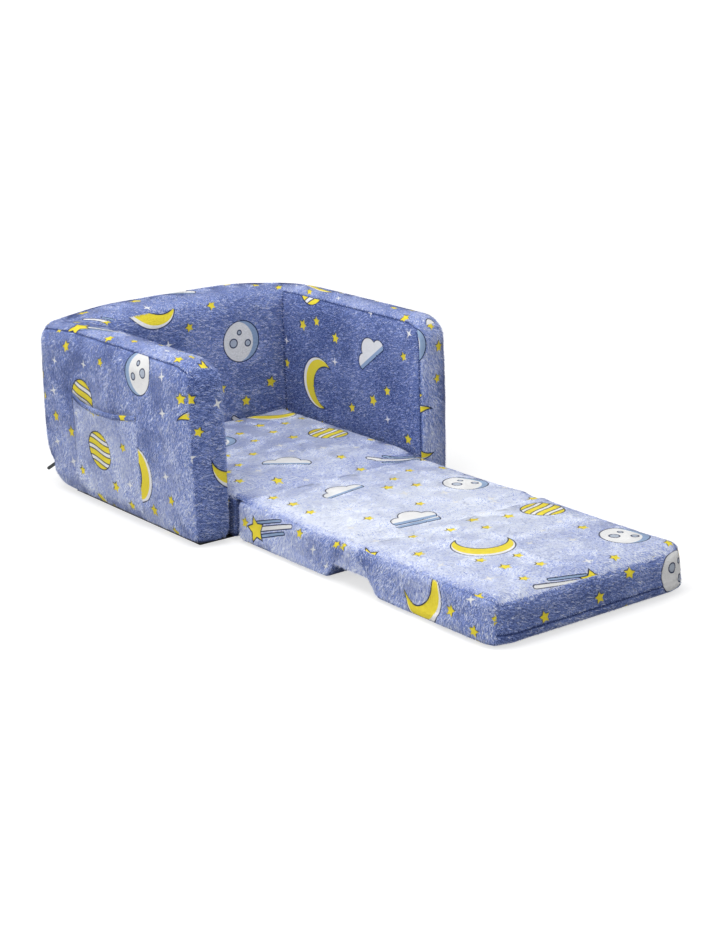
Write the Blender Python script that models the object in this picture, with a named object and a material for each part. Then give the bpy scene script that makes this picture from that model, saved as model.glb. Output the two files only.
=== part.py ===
# Child's sofa that flips open into a lounger, shown open as it lies on the floor.
# Soft foam blocks sit in plush covers: a U-shaped body (two arms and a back), a seat base
# between the arms, a middle pad and an end pad. The middle pad is sewn to the seat base and
# the end pad to the middle pad, so that both flip up and over to close the sofa.
# Metres, +Z up, the open end towards -Y, the origin on the floor under the middle of the bed.

import math

import bmesh
import bpy
from mathutils import Matrix, Vector

for old in list(bpy.data.objects):
    bpy.data.objects.remove(old, do_unlink=True)

# Driving sizes
SEAT_WIDTH = 0.430
ARM_THICKNESS = 0.085
SEAT_DEPTH = 0.450
BACK_THICKNESS = 0.130
BACK_HEIGHT = 0.345
ARM_DROOP = 0.002
PAD_THICKNESS = 0.088
MIDDLE_PAD_LENGTH = 0.340
END_PAD_LENGTH = 0.380

# Soft edges and swelling of the covers
BODY_EDGE_RADIUS = 0.028
BODY_CORNER_RADIUS = 0.050
FOOT_RADIUS = 0.100
PAD_EDGE_RADIUS = 0.018
OUTER_CROWN = 0.005
INNER_CROWN = 0.002
TOP_CROWN = 0.005
FRONT_CROWN = 0.005
PAD_TOP_CROWN = 0.005
PAD_SIDE_CROWN = 0.002
PAD_END_CROWN = 0.004
CORNER_SHARE = 0.35

# Fabric walls and running gaps
COVER_WALL = 0.003
CLEARANCE = 0.0003
PAD_SIDE_GAP = 0.0026
FOLD_GAP = 0.0013
LEAN_MARGIN = 0.0005
RELIEF_MARGIN_ANGLE = math.radians(2.6)
RELIEF_SHARE = 0.9

# Base panel under the body and seat
PANEL_THICKNESS = 0.001

# Fold strips and side gussets
GUSSET_THICKNESS = 0.0022
GUSSET_INSET = 0.002
NOTCH_HEIGHT_SHARE = 0.34

# Zips
ZIP_SLOT_HEIGHT = 0.016
ZIP_TAPE_THICKNESS = 0.0010
ZIP_TAPE_DEPTH = 0.0014
ZIP_TEETH_WIDTH = 0.0050
ZIP_TEETH_HEIGHT = 0.0010
ZIP_TEETH_END = 0.004
SLIDER_LENGTH = 0.0100
SLIDER_WIDTH = 0.0080
SLIDER_HEIGHT = 0.0020
SLIDER_BEVEL = 0.0007
BRIDGE_WIDTH = 0.0014
BRIDGE_HEIGHT = 0.0018
PULLER_WIDTH = 0.0066
PULLER_THICKNESS = 0.0010
PULLER_EYE_RADIUS = 0.0025
PULLER_TILT = math.radians(7.0)
BODY_ZIP_LENGTH = 0.496
BODY_ZIP_HEIGHT = 0.049
BODY_PULLER_LENGTH = 0.066
BODY_PULLER_TURN = math.radians(-20.0)
BODY_PULLER_TILT = math.radians(20.0)
PAD_ZIP_LENGTH = 0.340
PAD_PULLER_LENGTH = 0.022
PAD_ZIP_HEIGHT = 0.036
SEAT_SLOT_LENGTH = 0.300
SLIDER_END_DISTANCE = 0.016
CUT_OVERRUN = 0.0035

# Pocket on the outer face of the left arm
POCKET_FRONT_DISTANCE = 0.180
POCKET_WIDTH = 0.240
POCKET_MOUTH_HEIGHT = 0.207
POCKET_BOTTOM_HEIGHT = 0.028
POCKET_MOUTH_SAG = 0.012
POCKET_BULGE = 0.0075
POCKET_WALL = 0.0022
POCKET_SEAM_WIDTH = 0.012
HEM_HEIGHT = 0.010
HEM_THICKNESS = 0.0030

# Steps of the meshes
ARC_STEPS = 2
INNER_ARC_STEPS = 1
CURVE_STEPS = 8
HALVING_STEPS = 40

# Places worked out from the sizes
open_length = BACK_THICKNESS + SEAT_DEPTH + MIDDLE_PAD_LENGTH + END_PAD_LENGTH
end_y = -open_length / 2
pad_fold_y = end_y + END_PAD_LENGTH
seat_fold_y = pad_fold_y + MIDDLE_PAD_LENGTH
back_front_y = seat_fold_y + SEAT_DEPTH
rear_y = back_front_y + BACK_THICKNESS
half_seat = SEAT_WIDTH / 2
half_body = half_seat + ARM_THICKNESS
half_pad = half_seat - PAD_SIDE_GAP
body_floor = PANEL_THICKNESS + CLEARANCE
fold_height = PAD_THICKNESS + CLEARANCE

# The end pad leans on the top front edge of the back when the sofa is closed
edge_run = back_front_y + BODY_EDGE_RADIUS - pad_fold_y - 2 * (seat_fold_y - pad_fold_y)
edge_rise = BACK_HEIGHT - BODY_EDGE_RADIUS - fold_height
edge_distance = math.hypot(edge_run, edge_rise)
edge_slope = math.atan2(edge_rise, edge_run)
lean_angle = edge_slope + math.asin((BODY_EDGE_RADIUS + LEAN_MARGIN) / edge_distance)
relief_slope = math.tan(lean_angle / 2 + RELIEF_MARGIN_ANGLE)


def material(name, color, roughness, metallic=0.0):
    made = bpy.data.materials.new(name)
    made.use_nodes = True
    shader = made.node_tree.nodes["Principled BSDF"]
    shader.inputs["Base Color"].default_value = (*color, 1.0)
    shader.inputs["Roughness"].default_value = roughness
    shader.inputs["Metallic"].default_value = metallic
    made.diffuse_color = (*color, 1.0)
    return made


def add_object(name, points, faces, look):
    """Makes one named object; look is its colour, roughness and metallic value."""
    mesh = bpy.data.meshes.new(name)
    mesh.from_pydata([tuple(p) for p in points], [], faces)
    mesh.update()
    mesh.materials.append(material(name, *look))
    made = bpy.data.objects.new(name, mesh)
    bpy.context.scene.collection.objects.link(made)
    return made


PLUSH = ((0.35, 0.42, 0.72), 0.95)
FOAM = ((0.93, 0.90, 0.80), 0.9)
BASE_FABRIC = ((0.10, 0.11, 0.15), 0.85)
ZIP_FABRIC = ((0.12, 0.16, 0.32), 0.8)
ZIP_METAL = ((0.45, 0.50, 0.52), 0.35, 0.8)
PULL_FABRIC = ((0.22, 0.26, 0.26), 0.7)


def stations(low, high, radius, marks, arc_steps, square=(False, False)):
    """Grid lines along one axis: the marks on the straight part, and closer on each round edge."""
    start = low if square[0] else low + radius
    stop = high if square[1] else high - radius
    straight = [start] + [mark for mark in marks if start < mark < stop] + [stop]
    arc = [radius * math.tan(math.pi / 4 * (i + 1) / arc_steps) for i in range(arc_steps)]
    before = [] if square[0] else [start - a for a in reversed(arc)]
    after = [] if square[1] else [stop + a for a in arc]
    return before + straight + after


def even_marks(start, stop, steps):
    return [start + (stop - start) * i / steps for i in range(1, steps)]


def rounded(point, low, high, radius, square):
    """Draws a point of a square-edged box in to the rounded edge near it."""
    core = []
    for axis in range(3):
        start = low[axis] if axis == 0 and square[0] else low[axis] + radius
        stop = high[axis] if axis == 0 and square[1] else high[axis] - radius
        core.append(min(max(point[axis], start), stop))
    offset = [p - c for p, c in zip(point, core)]
    length = math.sqrt(sum(o * o for o in offset))
    if length == 0:
        return list(point)
    scale = max(abs(o) for o in offset) / length
    return [c + o * scale for c, o in zip(core, offset)]


def box_surface(lines, radius, square, bend):
    """The triangles of a box on three lists of grid lines, its edges rounded, its points bent."""
    low = [line[0] for line in lines]
    high = [line[-1] for line in lines]
    index, points, faces = {}, [], []

    def corner(cell):
        if cell not in index:
            index[cell] = len(points)
            place = [lines[axis][cell[axis]] for axis in range(3)]
            points.append(bend(rounded(place, low, high, radius, square)))
        return index[cell]

    for axis in range(3):
        u, v = (axis + 1) % 3, (axis + 2) % 3
        for side in (0, len(lines[axis]) - 1):
            for i in range(len(lines[u]) - 1):
                for j in range(len(lines[v]) - 1):
                    ring = []
                    for du, dv in ((0, 0), (1, 0), (1, 1), (0, 1)):
                        cell = [0, 0, 0]
                        cell[axis], cell[u], cell[v] = side, i + du, j + dv
                        ring.append(corner(tuple(cell)))
                    for halves in ((0, 1, 2), (0, 2, 3)):
                        face = [ring[k] for k in halves]
                        faces.append(tuple(face if side else reversed(face)))
    return points, faces


def add_shell(name, outer, inner, look):
    """A cover: the outer surface, and the inner one turned to face its hollow."""
    points = outer[0] + inner[0]
    shift = len(outer[0])
    faces = outer[1] + [tuple(shift + i for i in reversed(face)) for face in inner[1]]
    return add_object(name, points, faces, look)


def add_cutter(name, target, place, low, high):
    """Cuts a box out of the target; low and high are its corners in the frame of place."""
    mesh = bpy.data.meshes.new(name)
    made = bpy.data.objects.new(name, mesh)
    bpy.context.scene.collection.objects.link(made)
    builder = bmesh.new()
    bmesh.ops.create_cube(builder, size=1.0)
    middle = (Vector(low) + Vector(high)) / 2
    size = Vector(high) - Vector(low)
    for vertex in builder.verts:
        vertex.co = Vector(c * s for c, s in zip(vertex.co, size)) + middle
    builder.to_mesh(mesh)
    builder.free()
    made.matrix_world = place
    made.hide_render = True
    made.display_type = "WIRE"
    cut = target.modifiers.new(name, "BOOLEAN")
    cut.operation = "DIFFERENCE"
    cut.solver = "EXACT"
    cut.object = made


def crowned(point, low, high, crown):
    """Swells a box's faces: full size in their middles, drawn in at edges, less at corners."""
    share = []
    for axis in range(3):
        middle = (low[axis] + high[axis]) / 2
        share.append((point[axis] - middle) / (high[axis] - middle))
    moved = []
    for axis in range(3):
        u, v = share[axis - 2] ** 2, share[axis - 1] ** 2
        fall = 1.0 - (1.0 - u) * (1.0 - v) - CORNER_SHARE * u * v
        draw = crown[axis][0 if share[axis] < 0 else 1]
        moved.append(point[axis] - share[axis] * draw * fall)
    return moved


def disc_corner(a, b, radius):
    """Rounds a square corner: a and b run from 0 inside to radius at the two faces."""
    if a <= 0 or b <= 0:
        return a, b
    scale = max(a, b) / math.hypot(a, b)
    return a * scale, b * scale


# Body: one U-shaped plush cover, unrolled here as a bar that runs from the front of the left
# arm round the back to the front of the right arm. Bar coordinates: length along the inner
# face, thickness outwards from the inner face, height.
bar_length = 2 * SEAT_DEPTH + SEAT_WIDTH
bar_low = [0.0, 0.0, body_floor]
bar_high = [bar_length, ARM_THICKNESS, BACK_HEIGHT]
stretch_start = BODY_EDGE_RADIUS
stretch_end = ARM_THICKNESS - BODY_EDGE_RADIUS
front_keep = 2 * BODY_EDGE_RADIUS


def body_bend(point):
    """Swells a point of the bar, bends it round the U, and rounds the body's large corners."""
    along, out, height = crowned_bar(point)
    middle_share = (out - stretch_start) / (stretch_end - stretch_start)
    widened = out + (BACK_THICKNESS - ARM_THICKNESS) * min(max(middle_share, 0.0), 1.0)
    if SEAT_DEPTH < along < bar_length - SEAT_DEPTH:
        across = along - bar_length / 2
        x = across * (1.0 + out / half_seat)
        y = back_front_y + widened
    else:
        side = -1.0 if along <= SEAT_DEPTH else 1.0
        run = along if side < 0 else bar_length - along
        ramp = min(max((run - front_keep) / (SEAT_DEPTH - front_keep), 0.0), 1.0)
        x = side * (half_seat + out)
        y = seat_fold_y + run + widened * ramp
    a = abs(x) - (half_body - BODY_CORNER_RADIUS)
    b = y - (rear_y - BODY_CORNER_RADIUS)
    a, b = disc_corner(a, b, BODY_CORNER_RADIUS)
    x = math.copysign(half_body - BODY_CORNER_RADIUS + a, x)
    y = rear_y - BODY_CORNER_RADIUS + b
    from_rear = (rear_y - y) / (rear_y - seat_fold_y)
    height -= ARM_DROOP * from_rear ** 2 * (height - body_floor) / (BACK_HEIGHT - body_floor)
    a, b = disc_corner(y - (rear_y - FOOT_RADIUS), body_floor + FOOT_RADIUS - height, FOOT_RADIUS)
    return (x, rear_y - FOOT_RADIUS + a, body_floor + FOOT_RADIUS - b)


def crowned_bar(point):
    """The bar's swelling: outer, inner and top faces, and the two arm fronts."""
    along, out, height = point
    across = 2 * out / ARM_THICKNESS - 1.0
    upright = 2 * (height - body_floor) / (BACK_HEIGHT - body_floor) - 1.0
    front = min(along, bar_length - along)
    side = OUTER_CROWN if across > 0 else INNER_CROWN
    out -= across * side * max(upright, -upright) ** 2
    height -= TOP_CROWN * across ** 2 * max(upright, 0.0)
    near = max(0.0, 1.0 - front / front_keep)
    draw = FRONT_CROWN * near * (1.0 - (1.0 - across ** 2) * (1.0 - upright ** 2))
    along += draw if along < bar_length / 2 else -draw
    return along, out, height


# Grid lines of the bar: at its bends, on its large corners, and at the zip in its foot
corner_marks = [
    BODY_CORNER_RADIUS * half_seat / half_body * math.tan(angle) for angle in (math.pi / 8, math.pi / 4)
]
zip_marks = [BODY_ZIP_HEIGHT - ZIP_SLOT_HEIGHT / 2, BODY_ZIP_HEIGHT + ZIP_SLOT_HEIGHT / 2]
foot_top = body_floor + FOOT_RADIUS
side_top = BACK_HEIGHT - BODY_EDGE_RADIUS


def bar_marks(fine):
    """Marks along, through and up the bar; the covers' outer sides get the fine ones."""
    corners = corner_marks if fine else corner_marks[1:]
    near = [front_keep] + [SEAT_DEPTH - mark for mark in reversed(corners)]
    if fine:
        near.insert(1, (near[0] + near[1]) / 2)
    near += [SEAT_DEPTH] + [SEAT_DEPTH + mark for mark in corners]
    along = near + [bar_length / 2] + [bar_length - mark for mark in reversed(near)]
    through = [ARM_THICKNESS / 2] if fine else []
    up = zip_marks + [foot_top] + even_marks(foot_top, side_top, 3 if fine else 2)
    return along, through, up


def bar_surface(offset, start, stop, square, fine):
    """A surface inside the bar, offset in from its faces, from start to stop along it."""
    radius = BODY_EDGE_RADIUS - offset
    along, through, up = bar_marks(fine)
    steps = ARC_STEPS if fine else INNER_ARC_STEPS
    lines = [
        stations(start, stop, radius, along, steps, square),
        stations(bar_low[1] + offset, bar_high[1] - offset, radius, through, steps),
        stations(bar_low[2] + offset, bar_high[2] - offset, radius, up, steps),
    ]
    return box_surface(lines, radius, square, body_bend)


whole = (False, False)
body_outer = bar_surface(0.0, 0.0, bar_length, whole, True)
body_inner = bar_surface(COVER_WALL, COVER_WALL, bar_length - COVER_WALL, whole, False)
body_cover = add_shell("body_cover", body_outer, body_inner, PLUSH)

core_offset = COVER_WALL + CLEARANCE
half_joint = CLEARANCE / 2
core_spans = (
    ("left_arm_foam", core_offset, SEAT_DEPTH - half_joint, (False, True)),
    ("back_foam", SEAT_DEPTH + half_joint, bar_length - SEAT_DEPTH - half_joint, (True, True)),
    ("right_arm_foam", bar_length - SEAT_DEPTH + half_joint, bar_length - core_offset, (True, False)),
)
for core_name, core_start, core_stop, core_square in core_spans:
    core = bar_surface(core_offset, core_start, core_stop, core_square, False)
    add_object(core_name, core[0], core[1], FOAM)


# Base panel: one sheet of grippy fabric sewn under the arms, the back and the seat base
def add_slab(name, low, high, look):
    lines = [[low[axis], high[axis]] for axis in range(3)]
    points, faces = box_surface(lines, 0.0, (True, True), tuple)
    return add_object(name, points, faces, look)


panel_half = half_body - BODY_EDGE_RADIUS
add_slab(
    "base_panel",
    (-panel_half, seat_fold_y + BODY_EDGE_RADIUS, 0.0),
    (panel_half, rear_y - FOOT_RADIUS, PANEL_THICKNESS),
    BASE_FABRIC,
)


# Pads: seat base, middle pad and end pad, each a foam block in its own plush cover
def add_pad(prefix, low, high, crown, relief, steps):
    """A pad's cover and foam; relief slopes its -Y and +Y ends away from the top edge."""

    def bend(point):
        x, y, z = crowned(point, low, high, crown)
        middle = (low[1] + high[1]) / 2
        share = (y - middle) / ((high[1] - middle) * RELIEF_SHARE)
        slope = relief[0] if share < 0 else relief[1]
        return (x, y - min(max(share, -1.0), 1.0) * slope * (fold_height - z), z)

    def surface(offset, counts, arc_steps):
        radius = PAD_EDGE_RADIUS - offset
        lines = []
        for axis in range(3):
            start, stop = low[axis] + offset, high[axis] - offset
            marks = even_marks(start + radius, stop - radius, counts[axis])
            lines.append(stations(start, stop, radius, marks, arc_steps))
        return box_surface(lines, radius, whole, bend)

    core_counts = [max(1, count // 2) for count in steps]
    foam = surface(core_offset, core_counts, INNER_ARC_STEPS)
    add_object(prefix + "_foam", foam[0], foam[1], FOAM)
    inner = surface(COVER_WALL, core_counts, INNER_ARC_STEPS)
    return add_shell(prefix + "_cover", surface(0.0, steps, ARC_STEPS), inner, PLUSH)


side_crowns = (PAD_SIDE_CROWN, PAD_SIDE_CROWN)
seat_low = [-half_pad, seat_fold_y + FOLD_GAP, body_floor]
seat_high = [half_pad, back_front_y - CLEARANCE, PAD_THICKNESS]
seat_crown = (side_crowns, (0.0, 0.0), (0.0, PAD_TOP_CROWN))
seat_cover = add_pad("seat_base", seat_low, seat_high, seat_crown, (0.0, 0.0), (6, 6, 2))

middle_low = [-half_pad, pad_fold_y + FOLD_GAP, 0.0]
middle_high = [half_pad, seat_fold_y - FOLD_GAP, PAD_THICKNESS]
middle_crown = (side_crowns, (0.0, 0.0), (0.0, PAD_TOP_CROWN))
middle_relief = (relief_slope, 0.0)
middle_cover = add_pad("middle_pad", middle_low, middle_high, middle_crown, middle_relief, (6, 5, 2))

end_low = [-half_pad, end_y, 0.0]
end_high = [half_pad, pad_fold_y - FOLD_GAP, PAD_THICKNESS]
end_crown = (side_crowns, (PAD_END_CROWN, 0.0), (0.0, PAD_TOP_CROWN))
end_cover = add_pad("end_pad", end_low, end_high, end_crown, (0.0, relief_slope), (6, 5, 2))


# Fold strips: sewn strips that fill the groove between two pads, under the fold's axis
def nearest_reach(axis_y, *covers):
    """The shortest way, seen from the side, from a fold's axis to the covers beside it."""
    reach = PAD_THICKNESS
    for cover in covers:
        for edge in cover.data.edges:
            ends = [cover.data.vertices[i].co for i in edge.vertices]
            a, b = [Vector((p.y - axis_y, p.z - fold_height)) for p in ends]
            along = b - a
            if along.length == 0:
                continue
            share = min(max(-a.dot(along) / along.length_squared, 0.0), 1.0)
            reach = min(reach, (a + along * share).length)
    return reach


def add_fold_strip(name, axis_y, covers):
    """A strip whose round underside turns about the fold's axis, with a flat top."""
    radius = nearest_reach(axis_y, *covers) - CLEARANCE
    top = fold_height - PAD_TOP_CROWN - CLEARANCE
    half_angle = math.acos((fold_height - top) / radius)
    outline = []
    for i in range(CURVE_STEPS + 1):
        angle = half_angle * (2.0 * i / CURVE_STEPS - 1.0)
        outline.append((radius * math.sin(angle), -radius * math.cos(angle)))
    half_length = half_pad - PAD_EDGE_RADIUS - PAD_SIDE_CROWN
    points = []
    for x in (-half_length, half_length):
        points += [(x, y, z) for y, z in outline]
    count = len(outline)
    faces = [tuple(reversed(range(count))), tuple(range(count, 2 * count))]
    for i in range(count):
        j = (i + 1) % count
        faces.append((i, j, count + j, count + i))
    made = add_object(name, points, faces, PLUSH)
    made.location = (0.0, axis_y, fold_height)
    return made


add_fold_strip("seat_fold_strip", seat_fold_y, (seat_cover, middle_cover))
add_fold_strip("pad_fold_strip", pad_fold_y, (middle_cover, end_cover))


# Side gussets: webs of plush that close the sides of the fold between the two loose pads
def corner_inset(depth):
    """How far a rounded upright edge stands back at a depth in from the pad's side."""
    left = PAD_EDGE_RADIUS - depth
    return PAD_EDGE_RADIUS - math.sqrt(PAD_EDGE_RADIUS ** 2 - left ** 2)


def add_gusset(name, side):
    outer = half_pad - PAD_SIDE_CROWN - GUSSET_INSET
    inner = outer - GUSSET_THICKNESS
    standback = corner_inset(GUSSET_INSET + GUSSET_THICKNESS)
    spread = FOLD_GAP + standback - CLEARANCE
    top = fold_height - PAD_TOP_CROWN - standback - CLEARANCE
    bottom = PAD_THICKNESS * NOTCH_HEIGHT_SHARE
    outline = []
    for way in (-1.0, 1.0):
        for z in (top, bottom) if way < 0 else (bottom, top):
            outline.append((way * (spread + relief_slope * (fold_height - z)), z))
    near, far = (inner, outer) if side > 0 else (-outer, -inner)
    points = [(near, y, z) for y, z in outline] + [(far, y, z) for y, z in outline]
    count = len(outline)
    faces = [tuple(reversed(range(count))), tuple(range(count, 2 * count))]
    for i in range(count):
        j = (i + 1) % count
        faces.append((i, j, count + j, count + i))
    made = add_object(name, points, faces, PLUSH)
    made.location = (0.0, pad_fold_y, 0.0)


add_gusset("left_fold_gusset", -1.0)
add_gusset("right_fold_gusset", 1.0)


# Zips: a woven tape with moulded teeth in a slot of the cover, a slider, and a puller
def add_zip(prefix, cover, place, length, slider_side, puller):
    """place turns the zip's own frame, X along it and Z out of the face, into the sofa's.
    puller is the tab's length, its turn on the face and its tilt off it."""
    slot = ZIP_SLOT_HEIGHT / 2
    add_cutter(
        prefix + "_zip_slot",
        cover,
        place,
        (-length / 2, -slot, -(COVER_WALL + CUT_OVERRUN)),
        (length / 2, slot, CUT_OVERRUN),
    )
    half_tape = length / 2 - CLEARANCE
    tape_top = -ZIP_TAPE_DEPTH
    tape = add_slab(
        prefix + "_zip_tape",
        (-half_tape, -(slot - CLEARANCE), tape_top - ZIP_TAPE_THICKNESS),
        (half_tape, slot - CLEARANCE, tape_top),
        ZIP_FABRIC,
    )
    tape.matrix_world = place
    half_teeth = half_tape - ZIP_TEETH_END
    teeth_low = tape_top + CLEARANCE
    teeth_top = teeth_low + ZIP_TEETH_HEIGHT
    teeth = add_slab(
        prefix + "_zip_teeth",
        (-half_teeth, -ZIP_TEETH_WIDTH / 2, teeth_low),
        (half_teeth, ZIP_TEETH_WIDTH / 2, teeth_top),
        ZIP_FABRIC,
    )
    teeth.matrix_world = place
    slider_x = slider_side * (half_teeth - SLIDER_END_DISTANCE)
    slider_low = teeth_top + CLEARANCE
    add_slider(prefix + "_zip_slider", place, slider_x, slider_low)
    eye_height = slider_low + SLIDER_HEIGHT + CLEARANCE
    add_puller(prefix + "_zip_puller", place, slider_x, eye_height, *puller)


def add_slider(name, place, x, low):
    """A bevelled block with a low bridge on its middle, which holds the puller."""
    builder = bmesh.new()
    bmesh.ops.create_cube(builder, size=1.0)
    size = Vector((SLIDER_LENGTH, SLIDER_WIDTH, SLIDER_HEIGHT))
    for vertex in builder.verts:
        vertex.co = Vector(c * s for c, s in zip(vertex.co, size))
        vertex.co.z += low + SLIDER_HEIGHT / 2
    bmesh.ops.bevel(
        builder, geom=list(builder.edges), offset=SLIDER_BEVEL, segments=1, affect="EDGES"
    )
    top = max(builder.faces, key=lambda face: face.calc_center_median().z)
    border = (SLIDER_WIDTH - BRIDGE_WIDTH) / 2 - SLIDER_BEVEL
    bmesh.ops.inset_region(builder, faces=[top], thickness=border, use_even_offset=True)
    raised = bmesh.ops.extrude_face_region(builder, geom=[top])["geom"]
    bmesh.ops.delete(builder, geom=[top], context="FACES_ONLY")
    for item in raised:
        if isinstance(item, bmesh.types.BMVert):
            item.co.z += BRIDGE_HEIGHT
    mesh = bpy.data.meshes.new(name)
    builder.to_mesh(mesh)
    builder.free()
    mesh.materials.append(material(name, *ZIP_METAL))
    made = bpy.data.objects.new(name, mesh)
    bpy.context.scene.collection.objects.link(made)
    made.matrix_world = place @ Matrix.Translation((x, 0.0, 0.0))


def add_puller(name, place, x, low, length, turn, tilt):
    """A flat tab round the slider's bridge, turned on the face and tilted off it."""
    half = PULLER_WIDTH / 2
    outline = []
    for centre, first in ((0.0, math.pi / 2), (PULLER_WIDTH - length, -math.pi / 2)):
        for i in range(CURVE_STEPS + 1):
            angle = first - math.pi * i / CURVE_STEPS
            outline.append((centre + half * math.cos(angle), half * math.sin(angle)))
    count = len(outline)
    eye = []
    for i in range(count):
        angle = math.pi / 2 - 2 * math.pi * i / count
        eye.append((PULLER_EYE_RADIUS * math.cos(angle), PULLER_EYE_RADIUS * math.sin(angle)))
    points = []
    for ring in (outline, eye):
        for z in (0.0, PULLER_THICKNESS):
            points += [(px, py, z) for px, py in ring]
    outer_low, outer_top, eye_low, eye_top = [k * count for k in range(4)]
    faces = []
    for i in range(count):
        j = (i + 1) % count
        faces.append((outer_low + j, outer_low + i, outer_top + i, outer_top + j))
        faces.append((eye_low + i, eye_low + j, eye_top + j, eye_top + i))
        faces.append((outer_low + i, outer_low + j, eye_low + j, eye_low + i))
        faces.append((outer_top + j, outer_top + i, eye_top + i, eye_top + j))
    made = add_object(name, points, faces, PULL_FABRIC)
    lift = low + half * math.sin(tilt)
    turned = Matrix.Rotation(turn, 4, "Z") @ Matrix.Rotation(tilt, 4, "Y")
    made.matrix_world = place @ Matrix.Translation((x, 0.0, lift)) @ turned


# Body zip along the rounded foot of the back, facing the rear and a little down
slot_edges = []
for edge_height in (BODY_ZIP_HEIGHT - ZIP_SLOT_HEIGHT / 2, BODY_ZIP_HEIGHT + ZIP_SLOT_HEIGHT / 2):
    slot_edges.append(Vector(body_bend((bar_length / 2, ARM_THICKNESS, edge_height))))
upward = slot_edges[1] - slot_edges[0]
foot_place = Matrix.Translation((slot_edges[0] + slot_edges[1]) / 2) @ Matrix.Rotation(
    math.atan2(upward.z, upward.y) + math.pi, 4, "X"
)
body_puller = (BODY_PULLER_LENGTH, BODY_PULLER_TURN, BODY_PULLER_TILT)
add_zip("body", body_cover, foot_place, BODY_ZIP_LENGTH, -1.0, body_puller)

# Pad zips on the sloping faces of the notch, out of sight when the sofa is open or closed
relief_angle = math.atan(relief_slope)
notch_y = FOLD_GAP + relief_slope * (fold_height - PAD_ZIP_HEIGHT)
middle_place = Matrix.Translation((0.0, pad_fold_y + notch_y, PAD_ZIP_HEIGHT)) @ Matrix.Rotation(
    math.pi / 2 + relief_angle, 4, "X"
)
end_place = Matrix.Translation((0.0, pad_fold_y - notch_y, PAD_ZIP_HEIGHT)) @ Matrix.Rotation(
    -(math.pi / 2 + relief_angle), 4, "X"
)
for prefix, cover, place, side, turn in (
    ("middle_pad", middle_cover, middle_place, -1.0, 0.0),
    ("end_pad", end_cover, end_place, 1.0, math.pi),
):
    add_zip(prefix, cover, place, PAD_ZIP_LENGTH, side, (PAD_PULLER_LENGTH, turn, PULLER_TILT))

# The seat base's cover is left open in a slot at its rear, where its foam block goes in
seat_slot_place = Matrix.Translation(
    (0.0, seat_high[1], (seat_low[2] + seat_high[2]) / 2)
) @ Matrix.Rotation(-math.pi / 2, 4, "X")
add_cutter(
    "seat_base_slot",
    seat_cover,
    seat_slot_place,
    (-SEAT_SLOT_LENGTH / 2, -ZIP_SLOT_HEIGHT / 2, -(COVER_WALL + CUT_OVERRUN)),
    (SEAT_SLOT_LENGTH / 2, ZIP_SLOT_HEIGHT / 2, CUT_OVERRUN),
)


# Pocket: a patch of plush sewn to the left arm's outer face along three sides
def arm_face_x(y, z):
    """The left arm's outer face, where the patch is sewn."""
    low, high = 0.0, SEAT_DEPTH
    for _ in range(HALVING_STEPS):
        along = (low + high) / 2
        if body_bend((along, ARM_THICKNESS, z))[1] < y:
            low = along
        else:
            high = along
    return body_bend((along, ARM_THICKNESS, z))[0]


pocket_front = seat_fold_y + POCKET_FRONT_DISTANCE
pocket_steps = (12, 8)


def mouth_height(across):
    """Height of the sagging mouth; across runs from -1 at the front to 1 at the rear."""
    return POCKET_MOUTH_HEIGHT - POCKET_MOUTH_SAG * (1.0 - across ** 2)


def pocket_point(across_share, up_share):
    """A point of the patch's inner side; shares run from 0 to 1, front to rear and up."""
    across = 2 * across_share - 1.0
    y = pocket_front + POCKET_WIDTH * across_share
    z = POCKET_BOTTOM_HEIGHT + (mouth_height(across) - POCKET_BOTTOM_HEIGHT) * up_share
    seam = 2 * POCKET_SEAM_WIDTH / POCKET_WIDTH
    inside = max(0.0, 1.0 - abs(across) - seam) / (1.0 - seam)
    bulge = POCKET_BULGE * math.sin(math.pi / 2 * min(1.0, 2 * inside)) * up_share ** 2
    return Vector((arm_face_x(y, z) - CLEARANCE - bulge, y, z))


def grid_solid(name, point, steps, wall, look):
    """A sheet on a grid of points, thickened towards -X by the wall."""
    columns, rows = steps
    points = []
    for depth in (0.0, wall):
        for i in range(columns + 1):
            for j in range(rows + 1):
                points.append(point(i / columns, j / rows) + Vector((-depth, 0.0, 0.0)))
    back = (columns + 1) * (rows + 1)

    def at(i, j):
        return i * (rows + 1) + j

    faces = []
    for i in range(columns):
        for j in range(rows):
            ring = [at(i, j), at(i + 1, j), at(i + 1, j + 1), at(i, j + 1)]
            faces.append(tuple(ring))
            faces.append(tuple(back + k for k in reversed(ring)))
    border = [at(i, 0) for i in range(columns)] + [at(columns, j) for j in range(rows)]
    border += [at(i, rows) for i in range(columns, 0, -1)] + [at(0, j) for j in range(rows, 0, -1)]
    for a, b in zip(border, border[1:] + border[:1]):
        faces.append((b, a, back + a, back + b))
    return add_object(name, points, faces, look)


def hem_point(across_share, up_share):
    base = pocket_point(across_share, 1.0)
    return base + Vector((0.0, 0.0, CLEARANCE + HEM_HEIGHT * up_share))


grid_solid("left_arm_pocket", pocket_point, pocket_steps, POCKET_WALL, PLUSH)
grid_solid("pocket_hem", hem_point, (pocket_steps[0], 1), HEM_THICKNESS, PLUSH)


# Pivots: each loose pad, and all that is sewn to it, turns about the axis of its fold
def add_pivot(name, axis_y, parent, pieces):
    """Hangs the pieces on an empty on a fold's axis; none of them moves at rest."""
    made = bpy.data.objects.new(name, None)
    made.location = (0.0, axis_y, fold_height)
    bpy.context.scene.collection.objects.link(made)
    back = Matrix.Translation((0.0, -axis_y, -fold_height))
    for piece in pieces:
        piece.parent = made
        piece.matrix_parent_inverse = back
    if parent:
        made.parent = parent
        made.matrix_parent_inverse = Matrix.Translation(parent.location).inverted()
    return made


def sewn_on(prefix, *others):
    """The pieces whose names start with the prefix, and others by name."""
    return [piece for piece in bpy.data.objects if piece.name.startswith(prefix) or piece.name in others]


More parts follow.
